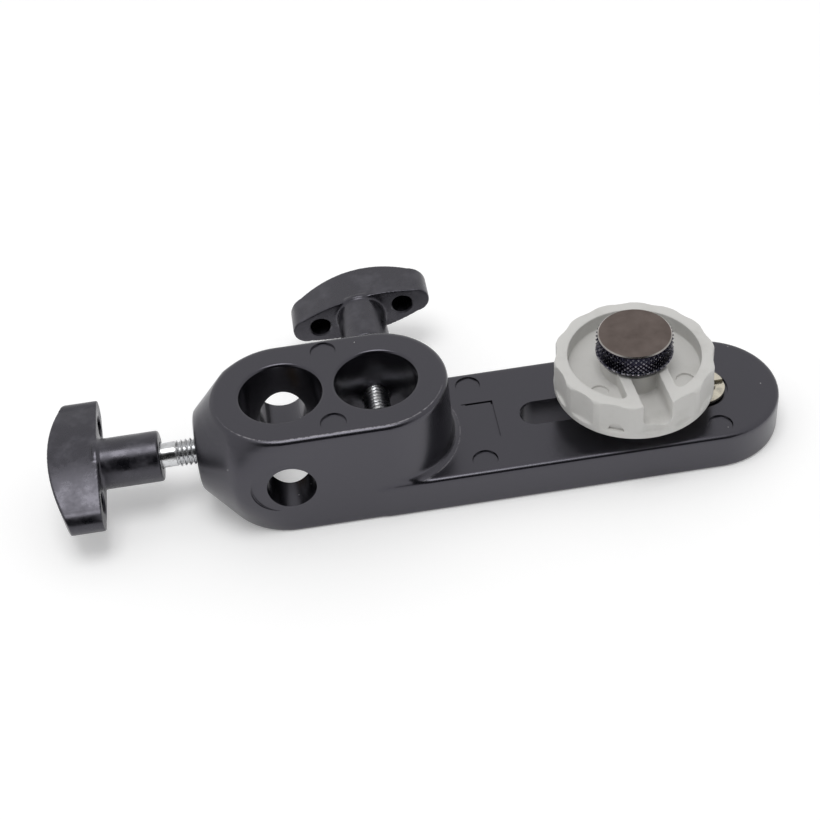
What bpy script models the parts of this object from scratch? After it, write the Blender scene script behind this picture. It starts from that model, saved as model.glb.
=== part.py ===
"""Camera mounting bracket: a die-cast arm with two spigot sockets, two tee clamp screws,
a slotted plate with a lock wheel and thumb screw, and a threaded reducer bushing.

Frame: metres, +Z up. The origin lies on the underside, midway between the two sockets.
+X runs along the slotted plate and +Y towards the rear clamp screw.
"""

import math

import bmesh
import bpy
from mathutils import Matrix, Vector

MM = 0.001
GAP = 0.3 * MM  # clearance kept between pieces that touch

# Casting
BLOCK_HEIGHT = 26.6 * MM
BLOCK_FOOT_RADIUS = 16.0 * MM
BLOCK_RIM_RADIUS = 15.5 * MM
EDGE = 0.5 * MM
SOCKET_SPACING = 20.7 * MM
SOCKET_RADIUS = 8.9 * MM
SOCKET_MOUTH_RADIUS = 9.4 * MM
AXIS_HEIGHT = BLOCK_HEIGHT / 2
NOSE_END_X = -30.1 * MM
NOSE_END_RADIUS = 8.6 * MM
NOSE_SHOULDER_X = -22.3 * MM
NOSE_SHOULDER_RADIUS = 16.2 * MM
CROSS_HOLE_X = -10.7 * MM
CROSS_HOLE_RADIUS = 5.3 * MM
SPOT_FACE_RADIUS = 7.6 * MM
SPOT_FACE_Y = -15.75 * MM
PLATE_THICKNESS = 9.4 * MM
PLATE_RADIUS = 16.0 * MM
PLATE_CHAMFER = 0.8 * MM
PLATE_END_X = 83.8 * MM
SLOT_WIDTH = 6.8 * MM
SLOT_START_X = 41.6 * MM
SLOT_END_X = 73.0 * MM

# Clamp screws, M6 x 1
STUD_RADIUS = 3.0 * MM
STUD_SHANK_RADIUS = 2.8 * MM
STUD_SHANK_LENGTH = 3.2 * MM
STUD_LENGTH = 22.8 * MM
STUD_ROOT = 9.0 * MM
TIP_RADIUS = 2.0 * MM
TIP_PROUD = 1.7 * MM
TIP_ROOT = 3.0 * MM
TIP_BORE_DEPTH = 3.4 * MM
TEE_HALF_LENGTH = 16.6 * MM
TEE_HALF_WIDTH = 5.5 * MM
TEE_END_RADIUS = 3.3 * MM
TEE_CENTRE_DEPTH = 10.8 * MM
TEE_END_DEPTH = 7.2 * MM
TEE_CORNER = 1.1 * MM
TEE_STEM_RADIUS = 5.6 * MM
TEE_STEM_LENGTH = 13.2 * MM
TEE_POCKET_RADIUS = 2.4 * MM
TEE_POCKET_OFFSET = 10.0 * MM
TEE_POCKET_DEPTH = 5.0 * MM
LEFT_STEM_END_X = -38.1 * MM
LEFT_TEE_ANGLE = math.radians(11)
REAR_STEM_END_Y = 23.7 * MM
REAR_TEE_ANGLE = math.radians(10)

# Lock wheel and thumb screw, 1/4 inch x 20 threads per inch
SCREW_X = 67.0 * MM
WHEEL_BOTTOM = 13.8 * MM
WHEEL_TOP = 22.9 * MM
WHEEL_RADIUS = 17.6 * MM
WHEEL_RING_INNER = 14.5 * MM
WHEEL_FLOOR = 19.0 * MM
WHEEL_FLUTES = 14
WHEEL_FLUTE_DEPTH = 0.7 * MM
WHEEL_FLUTE_RADIUS = 12.0 * MM
WHEEL_FOOT = 1.6 * MM
HUB_RADIUS = 7.3 * MM
HUB_TOP = 22.0 * MM
CHANNEL_WIDTH = 6.2 * MM
CHANNEL_FLOOR = 17.3 * MM
CHANNEL_ANGLE = math.radians(-86)
RIB_WIDTH = 2.3 * MM
WASHER_SEAT_RADIUS = 7.0 * MM
WASHER_SEAT_DEPTH = 1.6 * MM
INSERT_RADIUS = 5.5 * MM
INSERT_BOTTOM = 15.6 * MM
INSERT_TOP = 21.7 * MM
SCREW_RADIUS = 3.1 * MM
SCREW_TIP = 0.3 * MM
SCREW_TOP = 26.2 * MM
SCREW_HOLE_RADIUS = 3.4 * MM
HEAD_RADIUS = 8.45 * MM
HEAD_FACE_RADIUS = 7.75 * MM
HEAD_BOTTOM = 23.5 * MM
HEAD_TOP = 28.8 * MM
HEAD_BEVEL = 0.7 * MM
HEAD_WASHER_RADIUS = 6.2 * MM
HEAD_WASHER_BOTTOM = 22.3 * MM
HEAD_WASHER_TOP = 23.2 * MM
SLOT_WASHER_RADIUS = 6.2 * MM
SLOT_WASHER_THICKNESS = 1.1 * MM

# Reducer bushing
BUSHING_X = 82.2 * MM
BUSHING_FLANGE_RADIUS = 5.6 * MM
BUSHING_FLANGE_THICKNESS = 0.9 * MM
BUSHING_BODY_RADIUS = 4.7 * MM
BUSHING_BOTTOM = 1.5 * MM
BUSHING_BORE_RADIUS = 2.9 * MM
BUSHING_HOLE_RADIUS = 5.0 * MM
BUSHING_SLOT_WIDTH = 1.6 * MM

ROUND = 48  # sides of the larger circles
SMALL = 32  # sides of the smaller ones


def clear_scene():
    for item in list(bpy.data.objects):
        bpy.data.objects.remove(item, do_unlink=True)


def material(name, colour, roughness, metallic=0.0):
    """A plain Principled finish; colour is linear RGB."""
    made = bpy.data.materials.new(name)
    made.use_nodes = True
    shader = made.node_tree.nodes["Principled BSDF"]
    shader.inputs["Base Color"].default_value = (*colour, 1.0)
    shader.inputs["Roughness"].default_value = roughness
    shader.inputs["Metallic"].default_value = metallic
    return made


def circle(radius, sides):
    """Points of a circle about the origin, anticlockwise."""
    turn = 2 * math.pi / sides
    return [(radius * math.cos(k * turn), radius * math.sin(k * turn)) for k in range(sides)]


def stadium(start_x, end_x, radius, sides):
    """Points of a slot outline along X, anticlockwise, with two round ends."""
    half = sides // 2
    turn = math.pi / half
    points = []
    for k in range(half + 1):
        angle = -math.pi / 2 + k * turn
        points.append((end_x + radius * math.cos(angle), radius * math.sin(angle)))
    for k in range(half + 1):
        angle = math.pi / 2 + k * turn
        points.append((start_x + radius * math.cos(angle), radius * math.sin(angle)))
    return points


def loft(name, rings):
    """A closed solid through rings of 3-D points, each ring anticlockwise from its far side."""
    shape = bmesh.new()
    rows = [[shape.verts.new(point) for point in ring] for ring in rings]
    count = len(rows[0])
    for low, high in zip(rows, rows[1:]):
        for k in range(count):
            n = (k + 1) % count
            shape.faces.new((low[k], low[n], high[n], high[k]))
    shape.faces.new(list(reversed(rows[0])))
    shape.faces.new(rows[-1])
    bmesh.ops.recalc_face_normals(shape, faces=shape.faces)
    mesh = bpy.data.meshes.new(name)
    shape.to_mesh(mesh)
    shape.free()
    made = bpy.data.objects.new(name, mesh)
    bpy.context.collection.objects.link(made)
    return made


def prism(name, outline, low, high):
    """A straight solid with one outline between two heights."""
    return loft(name, [[(x, y, z) for x, y in outline] for z in (low, high)])


def turned(name, profile, sides=SMALL):
    """A solid turned about Z, from (radius, height) pairs that rise from bottom to top."""
    return loft(name, [[(x, y, z) for x, y in circle(radius, sides)] for radius, z in profile])


def place(item, location=(0, 0, 0), axis="Z", turn=0.0):
    """Bakes a pose into the mesh: its Z axis goes to the named axis, then it is moved."""
    towards = {
        "Z": Matrix.Identity(4),
        "-Z": Matrix.Rotation(math.pi, 4, "X"),
        "X": Matrix.Rotation(math.pi / 2, 4, "Y"),
        "-X": Matrix.Rotation(-math.pi / 2, 4, "Y"),
        "Y": Matrix.Rotation(-math.pi / 2, 4, "X"),
        "-Y": Matrix.Rotation(math.pi / 2, 4, "X"),
    }[axis]
    pose = Matrix.Translation(Vector(location)) @ towards @ Matrix.Rotation(turn, 4, "Z")
    item.data.transform(pose)
    return item


def apply_boolean(item, other, operation):
    """Cuts or joins with an exact Boolean, which stays on the object as a live modifier."""
    step = item.modifiers.new(f"{operation.lower()} {other.name}", "BOOLEAN")
    step.operation = operation
    step.solver = "EXACT"
    step.object = other
    other.hide_render = True
    other.display_type = "WIRE"


def cut(item, other):
    apply_boolean(item, other, "DIFFERENCE")


def join(item, other):
    apply_boolean(item, other, "UNION")


def finish(item, finish_material, pivot=None):
    """Dresses a piece and puts its origin on its joint axis."""
    item.data.materials.append(finish_material)
    item.data.shade_smooth()
    item.data.set_sharp_from_angle(angle=math.radians(35))
    if pivot is not None:
        item.data.transform(Matrix.Translation(-Vector(pivot)))
        item.location = pivot
    return item


def block_solid():
    """The stadium block with a little draft and rounded edges."""
    half = SOCKET_SPACING / 2
    levels = (
        (BLOCK_FOOT_RADIUS - EDGE, 0.0),
        (BLOCK_FOOT_RADIUS, EDGE),
        (BLOCK_RIM_RADIUS, BLOCK_HEIGHT - EDGE),
        (BLOCK_RIM_RADIUS - EDGE, BLOCK_HEIGHT),
    )
    rings = [[(x, y, z) for x, y in stadium(-half, half, r, ROUND)] for r, z in levels]
    return loft("bracket_body", rings)


def plate_solid():
    """The slotted plate, from inside the block to its round end."""
    start = SOCKET_SPACING / 2
    levels = (
        (PLATE_RADIUS - EDGE, 0.0),
        (PLATE_RADIUS, EDGE),
        (PLATE_RADIUS, PLATE_THICKNESS - PLATE_CHAMFER),
        (PLATE_RADIUS - PLATE_CHAMFER, PLATE_THICKNESS),
    )
    rings = [[(x, y, z) for x, y in stadium(start, PLATE_END_X, r, ROUND)] for r, z in levels]
    return loft("plate_shape", rings)


def nose_solid():
    """The cone round the left clamp screw, flush with the block's top and underside."""
    profile = (
        (NOSE_END_RADIUS, NOSE_END_X),
        (NOSE_SHOULDER_RADIUS, NOSE_SHOULDER_X),
        (BLOCK_RIM_RADIUS, -SOCKET_SPACING / 2),
    )
    nose = place(turned("nose_shape", profile, ROUND), (0, 0, AXIS_HEIGHT), "X")
    depth = BLOCK_HEIGHT - 2 * EDGE
    outline = [(-1, -1), (1, -1), (1, 1), (-1, 1)]
    window = [(x * 40 * MM, y * 20 * MM) for x, y in outline]
    keep = prism("nose_limits", window, EDGE, EDGE + depth)
    apply_boolean(nose, keep, "INTERSECT")
    return nose


def socket_cutter(name, x):
    """A socket right through the block, with a small lead-in at both ends."""
    lead = SOCKET_MOUTH_RADIUS - SOCKET_RADIUS
    profile = (
        (SOCKET_MOUTH_RADIUS + lead, -lead),
        (SOCKET_RADIUS, lead),
        (SOCKET_RADIUS, BLOCK_HEIGHT - lead),
        (SOCKET_MOUTH_RADIUS + lead, BLOCK_HEIGHT + lead),
    )
    return place(turned(name, profile, ROUND), (x, 0, 0))


def rod(name, radius, start, end, axis, at, sides=SMALL):
    """A plain round cutter between two distances along an axis from a point."""
    return place(turned(name, ((radius, start), (radius, end)), sides), at, axis)


def make_bracket(paint):
    body = block_solid()
    join(body, plate_solid())
    join(body, nose_solid())
    half = SOCKET_SPACING / 2
    centre = (0, 0, AXIS_HEIGHT)
    hole = STUD_RADIUS + GAP
    through = 20 * MM
    cut(body, socket_cutter("left_socket_cut", -half))
    cut(body, socket_cutter("right_socket_cut", half))
    cross_at = (CROSS_HOLE_X, 0, AXIS_HEIGHT)
    cut(body, rod("cross_hole_cut", CROSS_HOLE_RADIUS, -through, through, "Y", cross_at))
    cut(body, rod("spot_face_cut", SPOT_FACE_RADIUS, -SPOT_FACE_Y, through, "-Y", cross_at, ROUND))
    cut(body, rod("left_thread_cut", hole, half, -NOSE_END_X + GAP, "-X", centre))
    rear_at = (half, 0, AXIS_HEIGHT)
    cut(body, rod("rear_thread_cut", hole, SOCKET_RADIUS / 2, through, "Y", rear_at))
    radius = SLOT_WIDTH / 2
    slot = stadium(SLOT_START_X + radius, SLOT_END_X - radius, radius, SMALL)
    cut(body, prism("slot_cut", slot, -MM, PLATE_THICKNESS + MM))
    bushing_at = (BUSHING_X, 0, 0)
    cut(body, rod("bushing_cut", BUSHING_HOLE_RADIUS, -MM, PLATE_THICKNESS + MM, "Z", bushing_at))
    return finish(body, paint)


def make_bushing(plating):
    """A flanged sleeve, threaded inside and out on the real one, with a driver slot."""
    rest = PLATE_THICKNESS + GAP / 3
    profile = (
        (BUSHING_BODY_RADIUS - EDGE, BUSHING_BOTTOM),
        (BUSHING_BODY_RADIUS, BUSHING_BOTTOM + EDGE),
        (BUSHING_BODY_RADIUS, rest),
        (BUSHING_FLANGE_RADIUS, rest),
        (BUSHING_FLANGE_RADIUS, rest + BUSHING_FLANGE_THICKNESS),
    )
    at = (BUSHING_X, 0, 0)
    bushing = place(turned("reducer_bushing", profile), at)
    top = rest + BUSHING_FLANGE_THICKNESS
    cut(bushing, rod("bushing_bore_cut", BUSHING_BORE_RADIUS, 0, top + MM, "Z", at))
    reach = BUSHING_FLANGE_RADIUS + MM
    half = BUSHING_SLOT_WIDTH / 2
    bar = [(-reach, -half), (reach, -half), (reach, half), (-reach, half)]
    slot = place(prism("bushing_slot_cut", bar, top - 0.7 * MM, top + MM), at)
    cut(bushing, slot)
    return finish(bushing, plating)


def tee_section(along):
    """Half width and depth of the tee handle at a place from -1 to 1 along it."""
    straight = TEE_HALF_LENGTH - TEE_END_RADIUS
    place_along = along * TEE_HALF_LENGTH
    beyond = max(abs(place_along) - straight, 0.0)
    share = min(abs(place_along) / straight, 1.0)
    width = TEE_HALF_WIDTH + (TEE_END_RADIUS - TEE_HALF_WIDTH) * share**2
    if beyond:
        width = math.sqrt(max(TEE_END_RADIUS**2 - beyond**2, 0.0))
    depth = TEE_CENTRE_DEPTH + (TEE_END_DEPTH - TEE_CENTRE_DEPTH) * along**2
    return width, depth


def tee_handle(name):
    """The lens-shaped bar with an arched outer face, its flat inner face at z = 0."""
    stations = 24
    rings = []
    for k in range(1, stations):
        along = -math.cos(math.pi * k / stations)
        width, depth = tee_section(along)
        corner = min(TEE_CORNER, width * 0.6)
        x = along * TEE_HALF_LENGTH
        outline = (
            (-width, 0.0),
            (-width, depth - corner),
            (-width + 0.3 * corner, depth - 0.3 * corner),
            (-width + corner, depth),
            (width - corner, depth),
            (width - 0.3 * corner, depth - 0.3 * corner),
            (width, depth - corner),
            (width, 0.0),
        )
        rings.append([(x, y, z) for y, z in outline])
    return loft(name, rings)


def make_tee(name, axis, stem_end, turn, plastic):
    """A moulded tee knob. Its stem points along axis and ends at stem_end."""
    tee = tee_handle(name)
    stem = rod(f"{name}_stem", TEE_STEM_RADIUS, -TEE_STEM_LENGTH, MM, "Z", (0, 0, 0))
    join(tee, stem)
    for side in (-1, 1):
        at = (side * TEE_POCKET_OFFSET, 0, 0)
        label = f"{name}_pocket_{'low' if side < 0 else 'high'}"
        pocket = rod(label, TEE_POCKET_RADIUS, -MM, TEE_POCKET_DEPTH, "Z", at)
        cut(tee, pocket)
        pose_tee(pocket, axis, stem_end, turn)
    bore_end = -TEE_STEM_LENGTH + STUD_ROOT + GAP
    bore = rod(f"{name}_bore", STUD_RADIUS + GAP, -TEE_STEM_LENGTH - MM, bore_end, "Z", (0, 0, 0))
    cut(tee, bore)
    for item in (tee, stem, bore):
        pose_tee(item, axis, stem_end, turn)
    return finish(tee, plastic, stem_end)


def pose_tee(item, axis, stem_end, turn):
    """Turns a tee shape, whose handle rises along Z, so that its stem end is at stem_end."""
    out = {"X": Vector((-1, 0, 0)), "-Y": Vector((0, 1, 0))}[axis]
    along = {"X": Vector((0, 1, 0)), "-Y": Vector((1, 0, 0))}[axis]
    bar = (along * math.cos(turn) + Vector((0, 0, 1)) * math.sin(turn)).normalized()
    frame = Matrix((bar, out.cross(bar), out)).transposed().to_4x4()
    lift = Matrix.Translation((0, 0, TEE_STEM_LENGTH))
    item.data.transform(Matrix.Translation(Vector(stem_end)) @ frame @ lift)


def make_stud(name, axis, stem_end, zinc):
    """A headless M6 stud moulded into the knob, hollow at its end for the swivel tip."""
    profile = (
        (STUD_RADIUS, -STUD_ROOT),
        (STUD_RADIUS, -GAP),
        (STUD_SHANK_RADIUS, 0.0),
        (STUD_SHANK_RADIUS, STUD_SHANK_LENGTH),
        (STUD_RADIUS, STUD_SHANK_LENGTH + GAP),
        (STUD_RADIUS, STUD_LENGTH - EDGE),
        (STUD_RADIUS - EDGE, STUD_LENGTH),
    )
    stud = place(turned(name, profile), stem_end, axis)
    bore = TIP_RADIUS + GAP
    start = STUD_LENGTH - TIP_BORE_DEPTH
    cut(stud, rod(f"{name}_bore", bore, start, STUD_LENGTH + MM, axis, stem_end))
    return finish(stud, zinc, stem_end)


def make_tip(name, axis, stem_end, brass):
    """The small plug in the stud's end that presses on the spigot and needn't turn."""
    end = STUD_LENGTH + TIP_PROUD
    profile = (
        (TIP_RADIUS, STUD_LENGTH - TIP_ROOT),
        (TIP_RADIUS, end - EDGE),
        (TIP_RADIUS - EDGE, end),
    )
    return finish(place(turned(name, profile), stem_end, axis), brass, stem_end)


def make_clamp(side, axis, stem_end, turn, plastic, zinc, brass):
    make_tee(f"{side}_clamp_knob", axis, stem_end, turn, plastic)
    make_stud(f"{side}_clamp_stud", axis, stem_end, zinc)
    make_tip(f"{side}_clamp_tip", axis, stem_end, brass)


def wheel_cutters():
    """The ring-shaped recess either side of the open channel, as one cutter."""
    top = WHEEL_TOP + MM
    recess = prism("wheel_recess", circle(WHEEL_RING_INNER, ROUND), WHEEL_FLOOR, top)
    cut(recess, prism("wheel_hub_core", circle(HUB_RADIUS, ROUND), WHEEL_FLOOR - MM, top + MM))
    half = CHANNEL_WIDTH / 2 + RIB_WIDTH
    bar = [(0, -half), (WHEEL_RADIUS, -half), (WHEEL_RADIUS, half), (0, half)]
    ribs = prism("wheel_rib_core", bar, WHEEL_FLOOR - MM, top + MM)
    cut(recess, place(ribs, turn=CHANNEL_ANGLE))
    return recess


def channel_cutter():
    """The open U-shaped channel from the hub out through the rim."""
    half = CHANNEL_WIDTH / 2
    reach = WHEEL_RADIUS + MM
    bar = [(0, -half), (reach, -half), (reach, half), (0, half)]
    channel = prism("wheel_channel", bar, CHANNEL_FLOOR, WHEEL_TOP + MM)
    hub = circle(HUB_RADIUS, ROUND)
    cut(channel, prism("wheel_channel_core", hub, CHANNEL_FLOOR - MM, WHEEL_TOP + 2 * MM))
    return place(channel, turn=CHANNEL_ANGLE)


def flute_cutter(index):
    """One shallow finger flute, which stops above the wheel's foot."""
    centre = WHEEL_RADIUS + WHEEL_FLUTE_RADIUS - WHEEL_FLUTE_DEPTH
    angle = CHANNEL_ANGLE + (index + 0.5) * 2 * math.pi / WHEEL_FLUTES
    at = (centre * math.cos(angle), centre * math.sin(angle), 0)
    low = WHEEL_BOTTOM + WHEEL_FOOT
    return rod(f"flute_{index:02d}", WHEEL_FLUTE_RADIUS, low, WHEEL_TOP + MM, "Z", at, ROUND)


def make_wheel(plastic):
    """The grey lock wheel, modelled about the Z axis and moved to the screw."""
    profile = (
        (WHEEL_RADIUS - EDGE, WHEEL_BOTTOM),
        (WHEEL_RADIUS, WHEEL_BOTTOM + EDGE),
        (WHEEL_RADIUS, WHEEL_TOP - EDGE),
        (WHEEL_RADIUS - EDGE, WHEEL_TOP),
    )
    wheel = turned("lock_wheel", profile, 56)
    cutters = [wheel_cutters(), channel_cutter()]
    cutters += [flute_cutter(k) for k in range(WHEEL_FLUTES)]
    cutters.append(prism("wheel_hub_trim", circle(HUB_RADIUS, ROUND), HUB_TOP, WHEEL_TOP + MM))
    seat = circle(WASHER_SEAT_RADIUS, ROUND)
    ceiling = WHEEL_BOTTOM + WASHER_SEAT_DEPTH
    cutters.append(prism("wheel_washer_seat", seat, WHEEL_BOTTOM - MM, ceiling))
    bore = circle(INSERT_RADIUS + GAP, SMALL)
    cutters.append(prism("wheel_bore", bore, WHEEL_BOTTOM - MM, WHEEL_TOP + MM))
    for cutter in cutters:
        cut(wheel, cutter)
    return finish(wheel, plastic)


def make_ring(name, outer, inner, low, high, metal):
    """A flat washer or a sleeve on the screw's axis."""
    ring = turned(name, ((outer, low), (outer, high)))
    cut(ring, rod(f"{name}_bore", inner, low - MM, high + MM, "Z", (0, 0, 0)))
    return finish(ring, metal)


def make_head(metal):
    """The thumb head, with a blind bore for the screw pressed into it."""
    profile = (
        (HEAD_RADIUS - EDGE, HEAD_BOTTOM),
        (HEAD_RADIUS, HEAD_BOTTOM + EDGE),
        (HEAD_RADIUS, HEAD_TOP - HEAD_BEVEL),
        (HEAD_FACE_RADIUS, HEAD_TOP),
    )
    head = turned("thumb_screw_head", profile, ROUND)
    bore_end = SCREW_TOP + GAP
    bore = rod("head_bore", SCREW_RADIUS + GAP, HEAD_BOTTOM - MM, bore_end, "Z", (0, 0, 0))
    cut(head, bore)
    return finish(head, metal)


def make_screw(metal):
    profile = (
        (SCREW_RADIUS - EDGE, SCREW_TIP),
        (SCREW_RADIUS, SCREW_TIP + EDGE),
        (SCREW_RADIUS, SCREW_TOP),
    )
    return finish(turned("thumb_screw_stud", profile), metal)


def make_lock_group(grey, nickel, zinc, brass):
    """The wheel and all that rides with it, on an empty at the screw's axis."""
    seat = PLATE_THICKNESS + GAP
    clear = SCREW_HOLE_RADIUS
    washer_top = seat + SLOT_WASHER_THICKNESS
    pieces = (
        make_wheel(grey),
        make_ring("wheel_insert", INSERT_RADIUS, clear, INSERT_BOTTOM, INSERT_TOP, brass),
        make_ring("slot_washer", SLOT_WASHER_RADIUS, clear, seat, washer_top, zinc),
        make_ring(
            "thumb_screw_washer",
            HEAD_WASHER_RADIUS,
            clear,
            HEAD_WASHER_BOTTOM,
            HEAD_WASHER_TOP,
            zinc,
        ),
        make_head(nickel),
        make_screw(zinc),
    )
    axis = bpy.data.objects.new("thumb_screw_axis", None)
    bpy.context.collection.objects.link(axis)
    names = set()
    for piece in pieces:
        names |= cutter_tree(piece)
        piece.parent = axis
    for name in sorted(names):
        bpy.data.objects[name].parent = axis
    axis.location = (SCREW_X, 0, 0)


def cutter_tree(piece):
    """Names of all the cutters that a piece's Booleans use, and those that cut them."""
    found = set()
    for step in piece.modifiers:
        if step.type == "BOOLEAN":
            found.add(step.object.name)
            found |= cutter_tree(step.object)
    return found


def main():
    clear_scene()
    paint = material("black powder coat", (0.022, 0.022, 0.025), 0.42)
    plastic = material("black moulded nylon", (0.018, 0.018, 0.02), 0.45)
    grey = material("grey moulded acetal", (0.45, 0.45, 0.42), 0.5)
    zinc = material("bright zinc plate", (0.72, 0.72, 0.74), 0.28, 1.0)
    nickel = material("black nickel plate", (0.16, 0.145, 0.14), 0.25, 1.0)
    brass = material("brass", (0.72, 0.52, 0.24), 0.3, 1.0)
    pale = material("pale nickel plate", (0.8, 0.76, 0.66), 0.25, 1.0)
    make_bracket(paint)
    make_bushing(pale)
    left_end = (LEFT_STEM_END_X, 0, AXIS_HEIGHT)
    make_clamp("left", "X", left_end, LEFT_TEE_ANGLE, plastic, zinc, brass)
    rear_end = (SOCKET_SPACING / 2, REAR_STEM_END_Y, AXIS_HEIGHT)
    make_clamp("rear", "-Y", rear_end, REAR_TEE_ANGLE, plastic, zinc, brass)
    make_lock_group(grey, nickel, zinc, brass)


main()
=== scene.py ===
"""Looks of a camera mounting bracket: a die-cast arm with two tee clamps and a lock wheel.

Sizes are in metres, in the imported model's frame: +X runs along the slotted plate, +Y
towards the rear clamp and +Z up, with the origin on the underside between the sockets.
"""

import logging
import math
from dataclasses import dataclass
from enum import Enum
from typing import Callable, Iterable

import bpy
from mathutils import Matrix, Vector


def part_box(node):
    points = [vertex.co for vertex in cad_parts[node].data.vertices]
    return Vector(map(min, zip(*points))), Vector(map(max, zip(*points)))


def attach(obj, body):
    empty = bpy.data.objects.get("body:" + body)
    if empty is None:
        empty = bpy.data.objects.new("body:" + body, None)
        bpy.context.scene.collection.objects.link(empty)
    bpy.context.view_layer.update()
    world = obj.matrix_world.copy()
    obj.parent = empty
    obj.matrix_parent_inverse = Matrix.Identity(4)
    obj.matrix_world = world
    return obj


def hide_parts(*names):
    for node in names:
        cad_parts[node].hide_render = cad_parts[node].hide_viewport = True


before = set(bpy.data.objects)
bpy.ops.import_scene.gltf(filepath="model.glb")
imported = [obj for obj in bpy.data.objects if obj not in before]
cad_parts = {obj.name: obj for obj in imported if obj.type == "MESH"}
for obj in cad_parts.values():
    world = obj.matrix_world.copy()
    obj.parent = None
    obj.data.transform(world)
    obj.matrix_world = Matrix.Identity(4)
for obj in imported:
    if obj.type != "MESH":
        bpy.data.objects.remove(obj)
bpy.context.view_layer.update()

MM = 0.001
LOG = logging.getLogger("bracket")
Obj = bpy.types.Object
Mat = bpy.types.Material
Node = bpy.types.Node
Socket = bpy.types.NodeSocket
Profile = list[tuple[float, float]]


class Join(Enum):
    """What an exact Boolean does with a second shape."""

    ADD = "UNION"
    CUT = "DIFFERENCE"
    KEEP = "INTERSECT"


class Side(Enum):
    """Which of the two clamps a piece belongs to."""

    LEFT = "left"
    REAR = "rear"


@dataclass(frozen=True)
class Moulding:
    """How a hard shape is cast: face size, softening rounds and share of faces kept."""

    voxel: float
    rounds: int
    keep: float
    blends: int = 0


class Bench:
    """Operations on one object at a time, as at a modelling bench."""

    @staticmethod
    def clear() -> None:
        """Leaves edit mode and deselects every object."""
        if bpy.context.object and bpy.context.object.mode != "OBJECT":
            bpy.ops.object.mode_set(mode="OBJECT")
        bpy.ops.object.select_all(action="DESELECT")

    @staticmethod
    def pick(item: Obj) -> Obj:
        """Makes one object the only selected and active one, and returns it.

        Args:
            item: The object.

        Returns:
            The same object.
        """
        Bench.clear()
        item.select_set(True)
        bpy.context.view_layer.objects.active = item
        return item

    @staticmethod
    def added(name: str) -> Obj:
        """Names the primitive that was just added, and bakes its place into its mesh.

        Args:
            name: The name that it gets.

        Returns:
            The new object.
        """
        item = bpy.context.object
        item.name = item.data.name = name
        bpy.ops.object.transform_apply(location=True, rotation=True, scale=True)
        return item

    @staticmethod
    def apply(item: Obj) -> Obj:
        """Applies every modifier of an object in order, and returns it.

        Args:
            item: The object.

        Returns:
            The changed object.
        """
        Bench.pick(item)
        for step in list(item.modifiers):
            bpy.ops.object.modifier_apply(modifier=step.name)
        return item

    @staticmethod
    def moved(item: Obj, pose: Matrix) -> Obj:
        """Moves an object's mesh by a pose, and returns it.

        Args:
            item: The object.
            pose: The move.

        Returns:
            The changed object.
        """
        item.data.transform(pose)
        item.data.update()
        return item

    @staticmethod
    def group(name: str, items: list[Obj]) -> Obj:
        """Joins objects that don't overlap into one mesh.

        Args:
            name: The name of the joined object.
            items: The objects.

        Returns:
            The joined object.
        """
        Bench.pick(items[0])
        for item in items[1:]:
            item.select_set(True)
        bpy.ops.object.join()
        items[0].name = items[0].data.name = name
        return items[0]

    @staticmethod
    def boolean(item: Obj, others: Iterable[Obj], join: Join) -> Obj:
        """Applies exact Booleans with each of the others, which are then removed.

        Args:
            item: The object that keeps the result.
            others: The cutters or additions.
            join: What is done with each of them.

        Returns:
            The changed object.
        """
        for other in others:
            step = item.modifiers.new("boolean", "BOOLEAN")
            step.operation = join.value
            step.solver = "EXACT"
            step.object = other
            Bench.apply(item)
            bpy.data.objects.remove(other, do_unlink=True)
        return item

    @staticmethod
    def cast(
        item: Obj, moulding: Moulding, blend: Callable[[Vector], float] | None = None
    ) -> Obj:
        """Gives a cast or moulded shape its soft edges and filled corners.

        Args:
            item: A closed shape with hard edges.
            moulding: How finely and how softly it is cast.
            blend: How far, from 0 to 1, a place is blended into its surroundings.

        Returns:
            The changed object.
        """
        remesh = item.modifiers.new("remesh", "REMESH")
        remesh.mode, remesh.voxel_size = "VOXEL", moulding.voxel
        smooth = item.modifiers.new("smooth", "SMOOTH")
        smooth.factor, smooth.iterations = 0.5, moulding.rounds
        Bench.apply(item)
        if blend:
            group = item.vertex_groups.new(name="blend")
            for point in item.data.vertices:
                group.add([point.index], blend(point.co), "REPLACE")
            wide = item.modifiers.new("wide", "SMOOTH")
            wide.factor, wide.iterations, wide.vertex_group = 0.5, moulding.blends, "blend"
            Bench.apply(item)
            item.vertex_groups.clear()
        item.modifiers.new("thin", "DECIMATE").ratio = moulding.keep
        return Bench.apply(item)

    @staticmethod
    def finished(item: Obj, sharp: float = 32.0) -> Obj:
        """Shades a piece smooth up to an angle, its flats staying flat, and returns it.

        Args:
            item: The piece.
            sharp: The angle, in degrees, past which an edge stays sharp.

        Returns:
            The shaded piece.
        """
        Bench.pick(item)
        bpy.ops.object.shade_smooth_by_angle(angle=math.radians(sharp))
        weighted = item.modifiers.new("weighted", "WEIGHTED_NORMAL")
        weighted.keep_sharp = True
        return Bench.apply(item)

    @staticmethod
    def closed(item: Obj) -> Obj:
        """Merges doubles, fills open ends and turns all faces outwards.

        Args:
            item: The object.

        Returns:
            The changed object.
        """
        Bench.pick(item)
        bpy.ops.object.mode_set(mode="EDIT")
        bpy.ops.mesh.select_all(action="SELECT")
        bpy.ops.mesh.remove_doubles(threshold=0.000002)
        bpy.ops.mesh.fill_holes(sides=0)
        bpy.ops.mesh.select_all(action="SELECT")
        bpy.ops.mesh.normals_make_consistent(inside=False)
        bpy.ops.object.mode_set(mode="OBJECT")
        return item


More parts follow.
